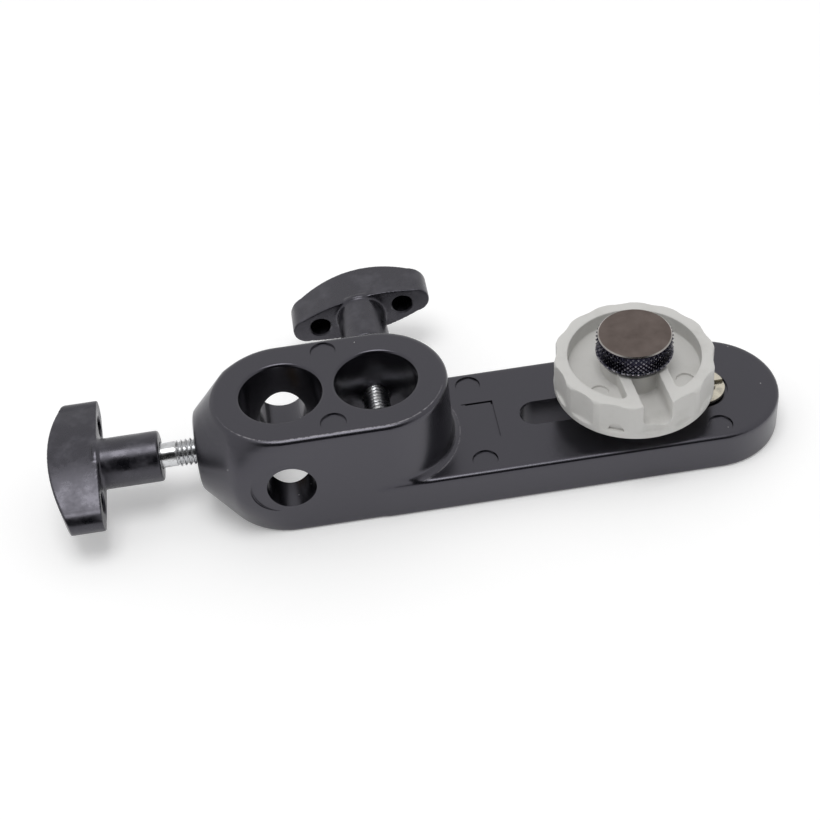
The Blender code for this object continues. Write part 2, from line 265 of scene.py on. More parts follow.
class Shape:
    """Starting shapes, each grown from a primitive."""

    @staticmethod
    def turned(name: str, profile: Profile, sides: int = 64, phase: float = 0.0) -> Obj:
        """A solid turned about Z, grown ring by ring from a disc.

        Args:
            name: The object's name.
            profile: (radius, height) pairs from the bottom up.
            sides: Sides of each ring.
            phase: The first ring's turn, in radians.

        Returns:
            The closed solid.
        """
        Bench.clear()
        radius, height = profile[0]
        bpy.ops.mesh.primitive_circle_add(
            vertices=sides,
            radius=radius,
            fill_type="NGON",
            location=(0, 0, height),
            rotation=(0, 0, phase),
        )
        item = Bench.added(name)
        bpy.ops.object.mode_set(mode="EDIT")
        bpy.ops.mesh.select_all(action="SELECT")
        for (before, low), (after, high) in zip(profile, profile[1:]):
            rise = {"value": (0, 0, high - low)}
            bpy.ops.mesh.extrude_region_move(TRANSFORM_OT_translate=rise)
            share = after / before
            bpy.ops.transform.resize(value=(share, share, 1), center_override=(0, 0, high))
        return Bench.closed(item)

    @staticmethod
    def slotted(name: str, profile: Profile, start: float, end: float, sides: int = 96) -> Obj:
        """A turned solid pulled apart along X, so that its outline is a slot with round ends.

        Args:
            name: The object's name.
            profile: (radius, height) pairs from the bottom up.
            start: X of the left end's centre.
            end: X of the right end's centre.
            sides: Sides of the turned solid, an even number.

        Returns:
            The closed solid.
        """
        item = Shape.turned(name, profile, sides, phase=math.pi / sides)
        for point in item.data.vertices:
            point.co.x += end if point.co.x > 0 else start
        return item

    @staticmethod
    def bar(name: str, low: Iterable[float], high: Iterable[float]) -> Obj:
        """A block between two corners, used to cut or to trim.

        Args:
            name: The object's name.
            low: The lower corner.
            high: The upper corner.

        Returns:
            The block.
        """
        Bench.clear()
        low, high = Vector(low), Vector(high)
        bpy.ops.mesh.primitive_cube_add(size=1, location=(low + high) / 2, scale=high - low)
        return Bench.added(name)

    @staticmethod
    def outlined(name: str, outline: Profile, low: float, high: float) -> Obj:
        """A straight solid with a given outline.

        Args:
            name: The object's name.
            outline: (x, y) points in order round the outline.
            low: The height of its underside.
            high: The height of its top.

        Returns:
            The closed solid.
        """
        Bench.clear()
        bpy.ops.mesh.primitive_circle_add(vertices=len(outline), radius=1, fill_type="NGON")
        item = Bench.added(name)
        for point, (x, y) in zip(item.data.vertices, outline):
            point.co = (x, y, low)
        bpy.ops.object.mode_set(mode="EDIT")
        bpy.ops.mesh.select_all(action="SELECT")
        rise = {"value": (0, 0, high - low)}
        bpy.ops.mesh.extrude_region_move(TRANSFORM_OT_translate=rise)
        return Bench.closed(item)

    @staticmethod
    def wrapped(
        name: str, rows: list[float], around: int, reach: Callable[[float, float], float]
    ) -> Obj:
        """A solid wrapped from a grid, whose radius varies over its surface.

        Args:
            name: The object's name.
            rows: The height of each row of points, from the bottom up.
            around: Grid cells round the solid.
            reach: The radius at (angle, height).

        Returns:
            The closed solid.
        """
        Bench.clear()
        bpy.ops.mesh.primitive_grid_add(
            x_subdivisions=around, y_subdivisions=len(rows) - 1, size=1
        )
        item = Bench.added(name)
        for point in item.data.vertices:
            angle = (point.co.x + 0.5) * 2 * math.pi
            height = rows[round((point.co.y + 0.5) * (len(rows) - 1))]
            radius = reach(angle, height)
            point.co = (radius * math.cos(angle), radius * math.sin(angle), height)
        return Bench.closed(item)

    @staticmethod
    def threaded(
        name: str, radius: float, pitch: float, low: float, high: float, lead: float, run: float
    ) -> Obj:
        """A right-hand screw thread along Z, chamfered at its low end.

        Args:
            name: The object's name.
            radius: The radius over the crests.
            pitch: The distance between crests.
            low: The height of the chamfered end.
            high: The height of the other end.
            lead: The chamfer's height.
            run: The length at the high end that is left plain, at the root's radius.

        Returns:
            The closed solid.
        """
        steps, depth = 12, 0.55 * pitch
        count = math.ceil((high - low) / pitch * steps)
        rows = [low + (high - low) * k / count for k in range(count + 1)]

        def reach(angle: float, height: float) -> float:
            """The thread's radius at an angle and a height.

            Args:
                angle: The angle round the axis, in radians.
                height: The height along the axis.

            Returns:
                The radius.
            """
            phase = (height / pitch - angle / (2 * math.pi)) % 1.0
            cut = 0.5 - 0.5 * math.cos(2 * math.pi * (phase - 0.5))
            fade = min(max((high - run - height) / (0.5 * pitch), 0.0), 1.0)
            plain = 0.45 * depth
            dip = cut * depth * fade + plain * (1 - fade)
            return radius - max(dip, depth - (height - low) * depth / lead)

        return Shape.wrapped(name, rows, 48, reach)


def rounded(radius: float, height: float, size: float, steps: int = 4) -> Profile:
    """Profile points of a rounded upper edge, from the wall up to the top face.

    Args:
        radius: The wall's radius.
        height: The top face's height.
        size: The edge's radius.
        steps: Faces across the edge.

    Returns:
        The profile points.
    """
    turns = [k * math.pi / 2 / steps for k in range(steps + 1)]
    corner_x, corner_z = radius - size, height - size
    return [(corner_x + size * math.cos(t), corner_z + size * math.sin(t)) for t in turns]


def footed(radius: float, height: float, size: float, steps: int = 4) -> Profile:
    """Profile points of a rounded lower edge, from the bottom face out to the wall."""
    mirrored = rounded(radius, -height, size, steps)
    return [(r, -z) for r, z in reversed(mirrored)]


def flared(radius: float, height: float, size: float, steps: int) -> Profile:
    """Profile points of a hollow fillet, from where it is widest in to the wall.

    Args:
        radius: The wall's radius.
        height: The height at which the fillet starts.
        size: The fillet's radius.
        steps: Faces across the fillet.

    Returns:
        The profile points.
    """
    turns = [k * math.pi / 2 / steps for k in range(steps + 1)]
    wide, high = radius + size, height + size
    return [(wide - size * math.sin(t), high - size * math.cos(t)) for t in turns]


def arc(x: float, y: float, radius: float, start: float, end: float, steps: int) -> Profile:
    """Points along an arc round (x, y), from one angle to another in radians."""
    turns = [start + (end - start) * k / steps for k in range(steps + 1)]
    return [(x + radius * math.cos(t), y + radius * math.sin(t)) for t in turns]


def bored(item: Obj, radius: float, low: float, high: float, lead: float) -> Obj:
    """Bores a turned piece through along Z, with a small lead-in at both ends.

    Args:
        item: The turned piece.
        radius: The bore's radius.
        low: The height of its lower end.
        high: The height of its upper end.
        lead: The height of the lead-in.

    Returns:
        The bored piece.
    """
    profile = [
        (radius + 2 * lead, low - lead),
        (radius, low + lead),
        (radius, high - lead),
        (radius + 2 * lead, high + lead),
    ]
    return Bench.boolean(item, [Shape.turned("bore", profile)], Join.CUT)


def linear(colour: str) -> tuple[float, float, float, float]:
    """Turns an sRGB hex colour to linear RGBA.

    Args:
        colour: The colour, as a hash and six digits.

    Returns:
        Its linear red, green, blue and alpha.
    """
    parts = [int(colour[k : k + 2], 16) / 255 for k in (1, 3, 5)]
    flat = [p / 12.92 if p <= 0.04045 else ((p + 0.055) / 1.055) ** 2.4 for p in parts]
    return (*flat, 1.0)


def cells(feature_mm: float) -> float:
    """The pattern scale, in cells per metre, at which one cell has a real size."""
    return 1.0 / (feature_mm * MM)


def add(owner: Mat | bpy.types.World, kind: str, inputs: dict, **settings: object) -> Node:
    """Adds one node with its settings and its inputs.

    Args:
        owner: The material or world whose tree grows.
        kind: The node type, without its ShaderNode prefix.
        inputs: A value, or an output socket to link, by the input's name or number.
        settings: The node's own properties.

    Returns:
        The new node.
    """
    node = owner.node_tree.nodes.new("ShaderNode" + kind)
    for name, value in settings.items():
        setattr(node, name, value)
    for name, value in inputs.items():
        if isinstance(value, Socket):
            owner.node_tree.links.new(value, node.inputs[name])
        else:
            node.inputs[name].default_value = value
    return node


@dataclass(frozen=True)
class Finish:
    """A surface's common name and its uniform values, on one Principled shader."""

    name: str
    colour: str
    roughness: float
    metallic: float = 0.0
    ior: float = 1.5
    sheen_colour: str = "#FFFFFF"

    def start(self) -> tuple[Mat, Node, Socket]:
        """Makes the material; returns it with its shader and its object coordinates.

        Returns:
            The material, its shader and its object coordinates.
        """
        made = bpy.data.materials.new(self.name)
        made.use_nodes = True
        shader = made.node_tree.nodes["Principled BSDF"]
        values = {"Base Color": linear(self.colour), "Roughness": self.roughness}
        values["Metallic"] = self.metallic
        if not self.metallic:
            values |= {"IOR": self.ior, "Specular Tint": linear(self.sheen_colour)}
        for name, value in values.items():
            shader.inputs[name].default_value = value
        return made, shader, add(made, "TexCoord", {}).outputs["Object"]

    def toned(self, made: Mat, shader: Node, share: Socket, colour: str) -> None:
        """Mixes another colour into the base colour so far, by a share from 0 to 1.

        Args:
            made: The material.
            shader: Its shader.
            share: How much of the other colour shows.
            colour: The other colour.
        """
        base = shader.inputs["Base Color"]
        before = base.links[0].from_socket if base.links else linear(self.colour)
        tone = add(made, "Mix", {0: share, 6: before, 7: linear(colour)}, data_type="RGBA")
        made.node_tree.links.new(tone.outputs[2], base)

    def patched(
        self, made: Mat, shader: Node, patch: Socket, shift: float, worn: tuple, colour: str
    ) -> None:
        """Varies the gloss and the colour with a pattern of wide patches.

        Args:
            made: The material.
            shader: Its shader.
            patch: The pattern, mostly between a third and two thirds.
            shift: How far the roughness goes either way.
            worn: Where in the pattern the second colour begins, where it is full, and its
                share there.
            colour: The second colour.
        """
        rough = {"To Min": self.roughness - shift, "To Max": self.roughness + shift}
        gloss = add(made, "MapRange", {"Value": patch, "From Min": 0.35, "From Max": 0.65, **rough})
        made.node_tree.links.new(gloss.outputs[0], shader.inputs["Roughness"])
        start, full, share = worn
        spread = {"Value": patch, "From Min": start, "From Max": full, "To Max": share}
        self.toned(made, shader, add(made, "MapRange", spread).outputs[0], colour)


@dataclass(frozen=True)
class PowderCoat(Finish):
    """Satin black powder coat, sprayed and baked on die-cast aluminium.

    The film flows into a faint orange peel about a millimetre across, with a finer grain
    on it, and holds a few specks of dust. A broken pale hairline of painted highlight runs
    along the front of the block's rim and in the fold where the block meets the plate.
    """

    peel_mm: float = 0.9
    grain_mm: float = 0.22  # the powder's own grain is about 0.05; drawn coarser, to show
    dust_mm: float = 3.4  # one cell in four holds a speck up to 0.27 across
    dust_share: float = 0.24
    dust_size: float = 0.04
    dust_colour: str = "#A9A8A6"
    # colour of the painted highlight hairlines on the rim and in the fold
    highlight_colour: str = "#8A888A"
    highlight_break_mm: float = 0.9  # the length of the breaks in a painted highlight line
    rim_half: float = 0.2 * MM
    rim_least: float = 0.05
    front_start: float = -3.0 * MM
    front_full: float = -12.0 * MM
    fold_half: float = 0.25 * MM
    fold_start: float = 2.0 * MM
    fold_band: float = 0.5 * MM
    fold_share: float = 0.45
    block_half: float = 0.0
    rim_radius: float = 0.0
    rim_height: float = 0.0
    fold_radius: float = 0.0
    fold_height: float = 0.0

    def line(self, made: Mat, out: Socket, radius: float, half: float) -> Socket:
        """A hairline, 1 on it and 0 beside it.

        Args:
            made: The material.
            out: The distance from the block's long axis.
            radius: The distance at which the line runs.
            half: Its half width.

        Returns:
            The socket that holds the line.
        """
        off = add(made, "Math", {0: out, 1: radius}, operation="SUBTRACT").outputs[0]
        off = add(made, "Math", {0: off}, operation="ABSOLUTE").outputs[0]
        ramp = {"Value": off, "From Max": half, "To Min": 1.0, "To Max": 0.0}
        return add(made, "MapRange", ramp).outputs[0]

    def painted_highlight(self, made: Mat, place: Socket) -> Socket:
        """Painted highlight: broken pale hairlines on the rim and in the fold, where the rounded
        edges catch the light.

        Args:
            made: The material.
            place: Its object coordinates.

        Returns:
            The socket that holds the share, from 0 to 1.
        """
        x, y, z = add(made, "SeparateXYZ", {0: place}).outputs
        past = add(made, "Math", {0: x}, operation="ABSOLUTE").outputs[0]
        past = add(made, "Math", {0: past, 1: self.block_half}, operation="SUBTRACT").outputs[0]
        past = add(made, "Math", {0: past, 1: 0.0}, operation="MAXIMUM").outputs[0]
        flat = add(made, "CombineXYZ", {0: past, 1: y}).outputs[0]
        out = add(made, "VectorMath", {0: flat}, operation="LENGTH").outputs["Value"]
        high = add(made, "Math", {0: z, 1: self.rim_height}, operation="GREATER_THAN")
        ramp = {"Value": y, "From Min": self.front_start, "From Max": self.front_full}
        front = add(made, "MapRange", ramp).outputs[0]
        front = add(made, "Math", {0: front, 1: self.rim_least}, operation="MAXIMUM")
        right = add(made, "Math", {0: x, 1: self.fold_start}, operation="GREATER_THAN")
        band = {0: z, 1: self.fold_height, 2: self.fold_band}
        level = add(made, "Math", band, operation="COMPARE")
        rim = self.line(made, out, self.rim_radius, self.rim_half)
        fold = self.line(made, out, self.fold_radius, self.fold_half)
        for factor in (high.outputs[0], front.outputs[0]):
            rim = add(made, "Math", {0: rim, 1: factor}, operation="MULTIPLY").outputs[0]
        for factor in (right.outputs[0], level.outputs[0], self.fold_share):
            fold = add(made, "Math", {0: fold, 1: factor}, operation="MULTIPLY").outputs[0]
        both = add(made, "Math", {0: rim, 1: fold}, operation="ADD").outputs[0]
        breaks = {"Scale": cells(self.highlight_break_mm), "Detail": 4.0, "Roughness": 0.7, "Vector": place}
        broken = add(made, "TexNoise", breaks).outputs["Fac"]
        kept = add(made, "MapRange", {"Value": broken, "From Min": 0.4, "From Max": 0.6})
        return add(made, "Math", {0: both, 1: kept.outputs[0]}, operation="MULTIPLY").outputs[0]

    def dusty(self, made: Mat, place: Socket) -> Socket:
        """Where a speck of dust lies: a small disc in a few cells of a Voronoi pattern.

        Args:
            made: The material.
            place: Its object coordinates.

        Returns:
            The socket that holds 1 on a speck and 0 beside it.
        """
        dust = add(made, "TexVoronoi", {"Scale": cells(self.dust_mm), "Vector": place}).outputs
        split = add(made, "SeparateColor", {"Color": dust["Color"]}).outputs
        tests = ((dust["Distance"], self.dust_size), (split["Red"], self.dust_share))
        speck, some = (
            add(made, "Math", {0: value, 1: limit}, operation="LESS_THAN").outputs[0]
            for value, limit in tests
        )
        return add(made, "Math", {0: speck, 1: some}, operation="MULTIPLY").outputs[0]

    def build(self) -> Mat:
        """The finished material.

        Returns:
            The material.
        """
        made, shader, place = self.start()
        peel = add(made, "TexNoise", {"Scale": cells(self.peel_mm), "Detail": 2.0, "Vector": place})
        film = {"Strength": 0.25, "Distance": 0.02 * MM, "Height": peel.outputs["Fac"]}
        low = add(made, "Bump", film).outputs["Normal"]
        fine = {"Scale": cells(self.grain_mm), "Detail": 3.0, "Vector": place}
        grain = add(made, "TexNoise", fine).outputs["Fac"]
        skin = {"Strength": 0.35, "Distance": 0.014 * MM, "Height": grain, "Normal": low}
        normal = add(made, "Bump", skin).outputs["Normal"]
        made.node_tree.links.new(normal, shader.inputs["Normal"])
        # painted highlight: pale broken hairlines along the front of the rim and in the fold
        self.toned(made, shader, self.painted_highlight(made, place), self.highlight_colour)
        self.toned(made, shader, self.dusty(made, place), self.dust_colour)
        return made


@dataclass(frozen=True)
class Moulded(Finish):
    """A moulded plastic, its skin copied from a spark-eroded steel mould.

    The eye sees a satin skin with a fine even grain, and wider patches where handling has
    polished it or flow has left it duller.
    """

    grain_mm: float = 0.3  # spark erosion leaves about 0.05; drawn coarser, to show
    patch_mm: float = 4.0
    depth_mm: float = 0.012
    shift: float = 0.08
    scuff_colour: str = "#3A3A3C"
    scuff: float = 0.0

    def build(self) -> Mat:
        """The finished material.

        Returns:
            The material.
        """
        made, shader, place = self.start()
        fine = {"Scale": cells(self.grain_mm), "Detail": 3.0, "Vector": place}
        grain = add(made, "TexNoise", fine).outputs["Fac"]
        skin = {"Strength": 0.4, "Distance": self.depth_mm * MM, "Height": grain}
        normal = add(made, "Bump", skin).outputs["Normal"]
        made.node_tree.links.new(normal, shader.inputs["Normal"])
        wide = {"Scale": cells(self.patch_mm), "Detail": 5.0, "Roughness": 0.65, "Vector": place}
        patch = add(made, "TexNoise", wide).outputs["Fac"]
        worn = (0.5, 0.7, self.scuff)
        self.patched(made, shader, patch, self.shift, worn, self.scuff_colour)
        return made


@dataclass(frozen=True)
class Plated(Finish):
    """Bright plate over rolled or turned metal: clear, with faint clouding and wear."""

    cloud_mm: float = 1.6
    ripple_mm: float = 0.5  # tool marks are about 0.1 apart; drawn coarser, to show
    shift: float = 0.08
    cloud_colour: str = "#8C8A86"

    def build(self) -> Mat:
        """The finished material.

        Returns:
            The material.
        """
        made, shader, place = self.start()
        marks = {"Scale": cells(self.ripple_mm), "Detail": 2.0, "Vector": place}
        ripple = add(made, "TexNoise", marks).outputs["Fac"]
        wave = add(made, "Bump", {"Strength": 0.2, "Distance": 0.01 * MM, "Height": ripple})
        made.node_tree.links.new(wave.outputs["Normal"], shader.inputs["Normal"])
        wide = {"Scale": cells(self.cloud_mm), "Detail": 5.0, "Vector": place}
        cloud = add(made, "TexNoise", wide).outputs["Fac"]
        self.patched(made, shader, cloud, self.shift, (0.45, 0.75, 0.6), self.cloud_colour)
        return made


@dataclass(frozen=True)
class Knurled(Finish):
    """Black nickel over a diamond knurl: near black in the grooves, worn bright in flecks
    on the tips of the diamonds."""

    tip_colour: str = "#ADAAAE"
    fleck_mm: float = 0.8

    def build(self) -> Mat:
        """The finished material.

        Returns:
            The material.
        """
        made, shader, place = self.start()
        worn = add(made, "Attribute", {}, attribute_name="worn").outputs["Fac"]
        spots = {"Scale": cells(self.fleck_mm), "Detail": 2.0, "Vector": place}
        fleck = add(made, "TexNoise", spots).outputs["Fac"]
        kept = add(made, "MapRange", {"Value": fleck, "From Min": 0.4, "From Max": 0.65})
        share = add(made, "Math", {0: worn, 1: kept.outputs[0]}, operation="MULTIPLY")
        self.toned(made, shader, share.outputs[0], self.tip_colour)
        return made


@dataclass(frozen=True)
class TurnedFace(Finish):
    """Black nickel over a face turned on a lathe: fine rings round the screw's axis."""

    ring_mm: float = 1.005  # the lathe's feed is about 0.05; drawn far coarser, to show
    cloud_mm: float = 3.0
    cloud_colour: str = "#5A504C"
    axis_x: float = 0.0

    def build(self) -> Mat:
        """The finished material.

        Returns:
            The material.
        """
        made, shader, place = self.start()
        centred = add(made, "Mapping", {"Location": (-self.axis_x, 0, 0), "Vector": place})
        # A wave's phase runs 20 radians to each unit of its scale.
        feed = {"Scale": math.tau / 20 * cells(self.ring_mm), "Distortion": 0.4, "Detail": 2.0}
        feed["Vector"] = centred.outputs[0]
        rings = add(made, "TexWave", feed, wave_type="RINGS", rings_direction="Z")
        depth = {"Strength": 0.25, "Distance": 0.008 * MM, "Height": rings.outputs["Fac"]}
        normal = add(made, "Bump", depth).outputs["Normal"]
        made.node_tree.links.new(normal, shader.inputs["Normal"])
        wide = {"Scale": cells(self.cloud_mm), "Detail": 4.0, "Vector": place}
        cloud = add(made, "TexNoise", wide).outputs["Fac"]
        self.toned(made, shader, cloud, self.cloud_colour)
        return made


class Palette:
    """The object's materials, each made once."""

    def __init__(self, screw_x: float) -> None:
        """Makes every material.

        Args:
            screw_x: X of the screw's axis, which the turned rings centre on.
        """
        # Black and satin, with a soft bluish sheen on the faces that look at the light.
        self.coat = PowderCoat(
            "satin black powder coat on cast aluminium",
            "#0B0B0F",
            0.26,
            ior=1.8,
            sheen_colour="#F3F0FF",
            # where the painted highlight hairlines run: on the block's rim and in the fold at its
            # foot
            block_half=10.35 * MM,
            rim_radius=14.55 * MM,
            rim_height=25.8 * MM,
            fold_radius=17.3 * MM,
            fold_height=9.8 * MM,
        ).build()
        # Black like the coat but duller, with grey scuffs where fingers turn the handles.
        self.nylon = Moulded(
            "black glass-filled nylon, moulded",
            "#0B0B0F",
            0.33,
            ior=1.75,
            sheen_colour="#F3F0FF",
            shift=0.12,
            scuff_colour="#454449",
            scuff=0.55,
        ).build()
        # An even pale grey, waxy and without reflections.
        self.acetal = Moulded(
            "light grey acetal, moulded",
            "#D0CFCC",
            0.46,
            patch_mm=6.0,
            depth_mm=0.008,
            shift=0.05,
            scuff_colour="#C3C2BE",
            scuff=0.6,
        ).build()
        # White metal with a bluish sparkle on the crests; warmer and softer on the bushing.
        self.zinc = Plated("bright zinc plate on rolled steel", "#D9DADC", 0.24, 1.0).build()
        self.pale = Plated("pale nickel plate on turned brass", "#DCD5C4", 0.22, 1.0).build()
        # Yellow metal, dulled brown in clouds.
        brown = "#8E6C38"
        self.brass = Plated("bare turned brass", "#C79A52", 0.28, 1.0, cloud_colour=brown).build()
        # A warm dark mirror on the head's face, near black on its wall, bright on its rim.
        name = "black nickel plate, turned"
        self.face = TurnedFace(name, "#7C716C", 0.28, 1.0, axis_x=screw_x).build()
        self.knurl = Knurled("black nickel plate, knurled", "#2B2B38", 0.2, 1.0).build()
        self.edge = Plated("black nickel worn bright", "#A9A4A0", 0.2, 1.0).build()


def deliver(piece: Obj, finish: Mat, body: str, node: str) -> None:
    """Hands a finished piece to its body and material slot, in place of its CAD node.

    Args:
        piece: The piece, in place.
        finish: The material of its first slot, unless it is dressed already.
        body: The body it rides on.
        node: The CAD node it stands for.
    """
    if not piece.data.materials:
        piece.data.materials.append(finish)
    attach(piece, body)
    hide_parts(node)
    LOG.info("%s: %d faces on %s", piece.name, len(piece.data.polygons), body)


def middle(node: str) -> Vector:
    """The centre of a CAD node's box."""
    low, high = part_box(node)
    return (low + high) / 2


@dataclass
class Casting:
    """The die-cast arm: socket block, clamp nose and slotted plate in one piece."""

    moulding: Moulding = Moulding(0.35 * MM, 6, 0.2, blends=120)
    rim_radius: float = 15.5 * MM
    foot_radius: float = 16.0 * MM
    rim_edge: float = 1.1 * MM
    foot_edge: float = 0.6 * MM
    socket_half: float = 10.35 * MM
    socket_radius: float = 8.9 * MM
    socket_lip: float = 0.75 * MM
    plate_top: float = 9.4 * MM
    plate_edge: float = 0.9 * MM
    foot_fillet: float = 1.6 * MM
    nose_end_radius: float = 8.6 * MM
    nose_shoulder_x: float = -22.3 * MM
    nose_shoulder_radius: float = 16.2 * MM
    nose_edge: float = 0.8 * MM
    wrap_x: float = -7.0 * MM
    cross_x: float = -10.7 * MM
    cross_radius: float = 5.3 * MM
    spot_radius: float = 6.7 * MM
    spot_x: float = -12.7 * MM
    spot_y: float = -15.55 * MM
    spot_rise: float = 0.5 * MM
    spot_tilt: float = math.radians(-3.5)
    spot_lean: float = math.radians(5)
    thread_radius: float = 3.3 * MM
    slot_radius: float = 3.4 * MM
    slot_start: float = 45.0 * MM
    slot_end: float = 69.6 * MM
    bush_radius: float = 5.0 * MM
    bush_seat: float = 6.2 * MM
    seat_depth: float = 0.5 * MM
    mark_radius: float = 2.75 * MM
    mark_depth: float = 0.42 * MM
    mark_draft: float = 0.08 * MM
    rim_mark_y: float = 11.4 * MM
    plate_mark_y: float = 12.0 * MM
    plate_mark_x: tuple[float, float] = (31.5 * MM, 83.6 * MM)
    panel_depth: float = 0.12 * MM
    panel_groove: float = 0.45 * MM
    panel_start: float = 29.0 * MM
    panel_end: float = 36.1 * MM
    panel_half: float = 6.0 * MM

    def __post_init__(self) -> None:
        """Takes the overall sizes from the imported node."""
        low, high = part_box("bracket_body")
        self.nose_end_x, self.right, self.top = low.x, high.x, high.z
        self.plate_radius, self.axis_z = (high.y - low.y) / 2, self.top / 2

    def build(self, palette: Palette) -> None:
        """Builds, cuts and dresses the casting.

        Args:
            palette: The object's materials.
        """
        body = self.block()
        Bench.boolean(body, [self.plate(), self.nose(), self.foot()], Join.ADD)
        Bench.cast(body, self.moulding, self.blended)
        cuts = (self.spot_face(), self.cross_hole(), self.upright_cuts(), self.thread_holes())
        Bench.boolean(body, cuts, Join.CUT)
        Bench.closed(body)
        Bench.finished(body)
        deliver(body, palette.coat, "bracket", "bracket_body")

    def blended(self, place: Vector) -> float:
        """How far the casting flows smoothly here: all of it round the nose's sides.

        Args:
            place: A point of the casting.

        Returns:
            The share, from 0 to 1.
        """
        margins = (
            (self.wrap_x - place.x, 3 * MM),
            (place.x - self.nose_end_x - 1.5 * MM, 2 * MM),
            (place.z - 2 * MM, 2 * MM),
            (self.top - 2.2 * MM - place.z, 1.5 * MM),
        )
        return math.prod(min(max(inside / fade, 0.0), 1.0) for inside, fade in margins)

    def block(self) -> Obj:
        """The socket block, with draft and rounded rims.

        Returns:
            The block.
        """
        profile = footed(self.foot_radius, 0.0, self.foot_edge)
        profile += rounded(self.rim_radius, self.top, self.rim_edge)
        return Shape.slotted("bracket_casting", profile, -self.socket_half, self.socket_half)

    def plate(self) -> Obj:
        """The plate, from inside the block to its round end.

        Returns:
            The plate.
        """
        radius = self.plate_radius
        profile = footed(radius, 0.0, self.foot_edge)
        profile += rounded(radius, self.plate_top, self.plate_edge)
        return Shape.slotted("plate", profile, self.socket_half, self.right - radius)

    def nose(self) -> Obj:
        """The cone round the left clamp screw, drawn tight over the block's round end.

        Returns:
            The nose.
        """
        edge = self.nose_edge
        slope = self.nose_shoulder_radius - self.nose_end_radius
        slope /= self.nose_shoulder_x - self.nose_end_x
        profile = [
            (self.nose_end_radius - edge, self.nose_end_x),
            (self.nose_end_radius, self.nose_end_x + 0.3 * edge),
            (self.nose_end_radius + edge * slope, self.nose_end_x + 1.2 * edge),
            (self.nose_shoulder_radius, self.nose_shoulder_x),
            (self.rim_radius, -self.socket_half),
        ]
        nose = Shape.turned("nose", profile, 96)
        turn = Matrix.Rotation(math.pi / 2, 4, "Y")
        Bench.moved(nose, Matrix.Translation((0, 0, self.axis_z)) @ turn)
        reach, edge = 60 * MM, self.foot_edge
        trim = Shape.bar("trim", (-reach, -reach, edge), (reach, reach, self.top - edge))
        Bench.boolean(nose, [trim], Join.KEEP)
        left = Shape.bar("left", (-reach, -reach, -reach), (self.wrap_x, reach, reach))
        end = Bench.boolean(self.block(), [left], Join.KEEP)
        Bench.group("nose", [nose, end])
        bpy.ops.object.mode_set(mode="EDIT")
        bpy.ops.mesh.select_all(action="SELECT")
        bpy.ops.mesh.convex_hull()
        return Bench.closed(nose)

    def foot(self) -> Obj:
        """The fillet where the block rises from the plate, kept within the plate's width.

        Returns:
            The fillet.
        """
        size, base = self.foot_fillet, self.plate_top - 0.4 * MM
        start = self.rim_radius + 0.3 * MM
        profile = [(start + size + 0.2 * MM, base)]
        profile += flared(start, self.plate_top, size, 5)
        fillet = Shape.slotted("foot", profile, -self.socket_half, self.socket_half)
        limit = self.foot_radius - 0.25 * MM
        reach = 60 * MM
        trim = Shape.bar("trim", (0, -limit, 0), (reach, limit, self.top))
        return Bench.boolean(fillet, [trim], Join.KEEP)

    def upright_cuts(self) -> Obj:
        """The sockets, the slot, the bushing's hole and the sunk marks, as one cutter.

        Returns:
            The cutters, joined.
        """
        cuts = [self.socket(x) for x in (-self.socket_half, self.socket_half)]
        lip = 0.3 * MM
        slot = [
            (self.slot_radius + lip, -lip),
            (self.slot_radius, lip),
            (self.slot_radius, self.plate_top - lip),
            (self.slot_radius + 2 * lip, self.plate_top + lip),
        ]
        cuts.append(Shape.slotted("slot", slot, self.slot_start, self.slot_end, 64))
        cuts.append(self.bushing_cut())
        rows = ((0.0, self.rim_mark_y, self.top),)
        rows += tuple((x, self.plate_mark_y, self.plate_top) for x in self.plate_mark_x)
        cuts += [self.mark((x, side * y, z)) for x, y, z in rows for side in (-1, 1)]
        return Bench.group("upright_cuts", [*cuts, self.panel()])

    def bushing_cut(self) -> Obj:
        """The bushing's hole, with the sunk seat that shows as a gap round its flange.

        Returns:
            The cutter.
        """
        seat = self.plate_top - self.seat_depth
        profile = [
            (self.bush_radius, -1 * MM),
            (self.bush_radius, seat),
            (self.bush_seat, seat),
            (self.bush_seat + 0.1 * MM, self.plate_top + 1 * MM),
        ]
        hole = Shape.turned("bushing_cut", profile)
        return Bench.moved(hole, Matrix.Translation((middle("reducer_bushing").x, 0, 0)))

    def socket(self, x: float) -> Obj:
        """A socket right through the block, with a rounded lip at both ends.

        Args:
            x: X of the socket's axis.

        Returns:
            The cutter.
        """
        lip = self.socket_lip
        profile = [(self.socket_radius + lip, -lip)]
        profile += flared(self.socket_radius, 0.0, lip, 5)
        profile += [(r, self.top - z) for r, z in reversed(profile)]
        socket = Shape.turned("socket", profile, 96)
        return Bench.moved(socket, Matrix.Translation((x, 0, 0)))

    def mark(self, place: tuple[float, float, float]) -> Obj:
        """A shallow disc that an ejector pin leaves in a face.

        Args:
            place: The disc's centre, on the face.

        Returns:
            The cutter.
        """
        draft = self.mark_draft
        profile = [
            (self.mark_radius - draft, -self.mark_depth),
            (self.mark_radius + draft, 0.0),
            (self.mark_radius + 4 * draft, self.mark_depth),
        ]
        return Bench.moved(Shape.turned("mark", profile, 48), Matrix.Translation(place))

    def panel(self) -> Obj:
        """The shallow rectangle sunk in the plate beside the slot, deepest along two edges.

        Returns:
            The cutter.
        """
        left, right, half = self.panel_start, self.panel_end, self.panel_half
        floor, groove, high = self.plate_top - self.panel_depth, self.panel_groove, self.top / 2
        panel = Shape.bar("panel", (left, -half, floor), (right, half, high))
        deep = floor - groove
        starts = ((left + 2 * groove, half - groove, deep), (right - groove, -0.9 * half, deep))
        edges = [Shape.bar("groove", start, (right, half, high)) for start in starts]
        return Bench.boolean(panel, edges, Join.ADD)

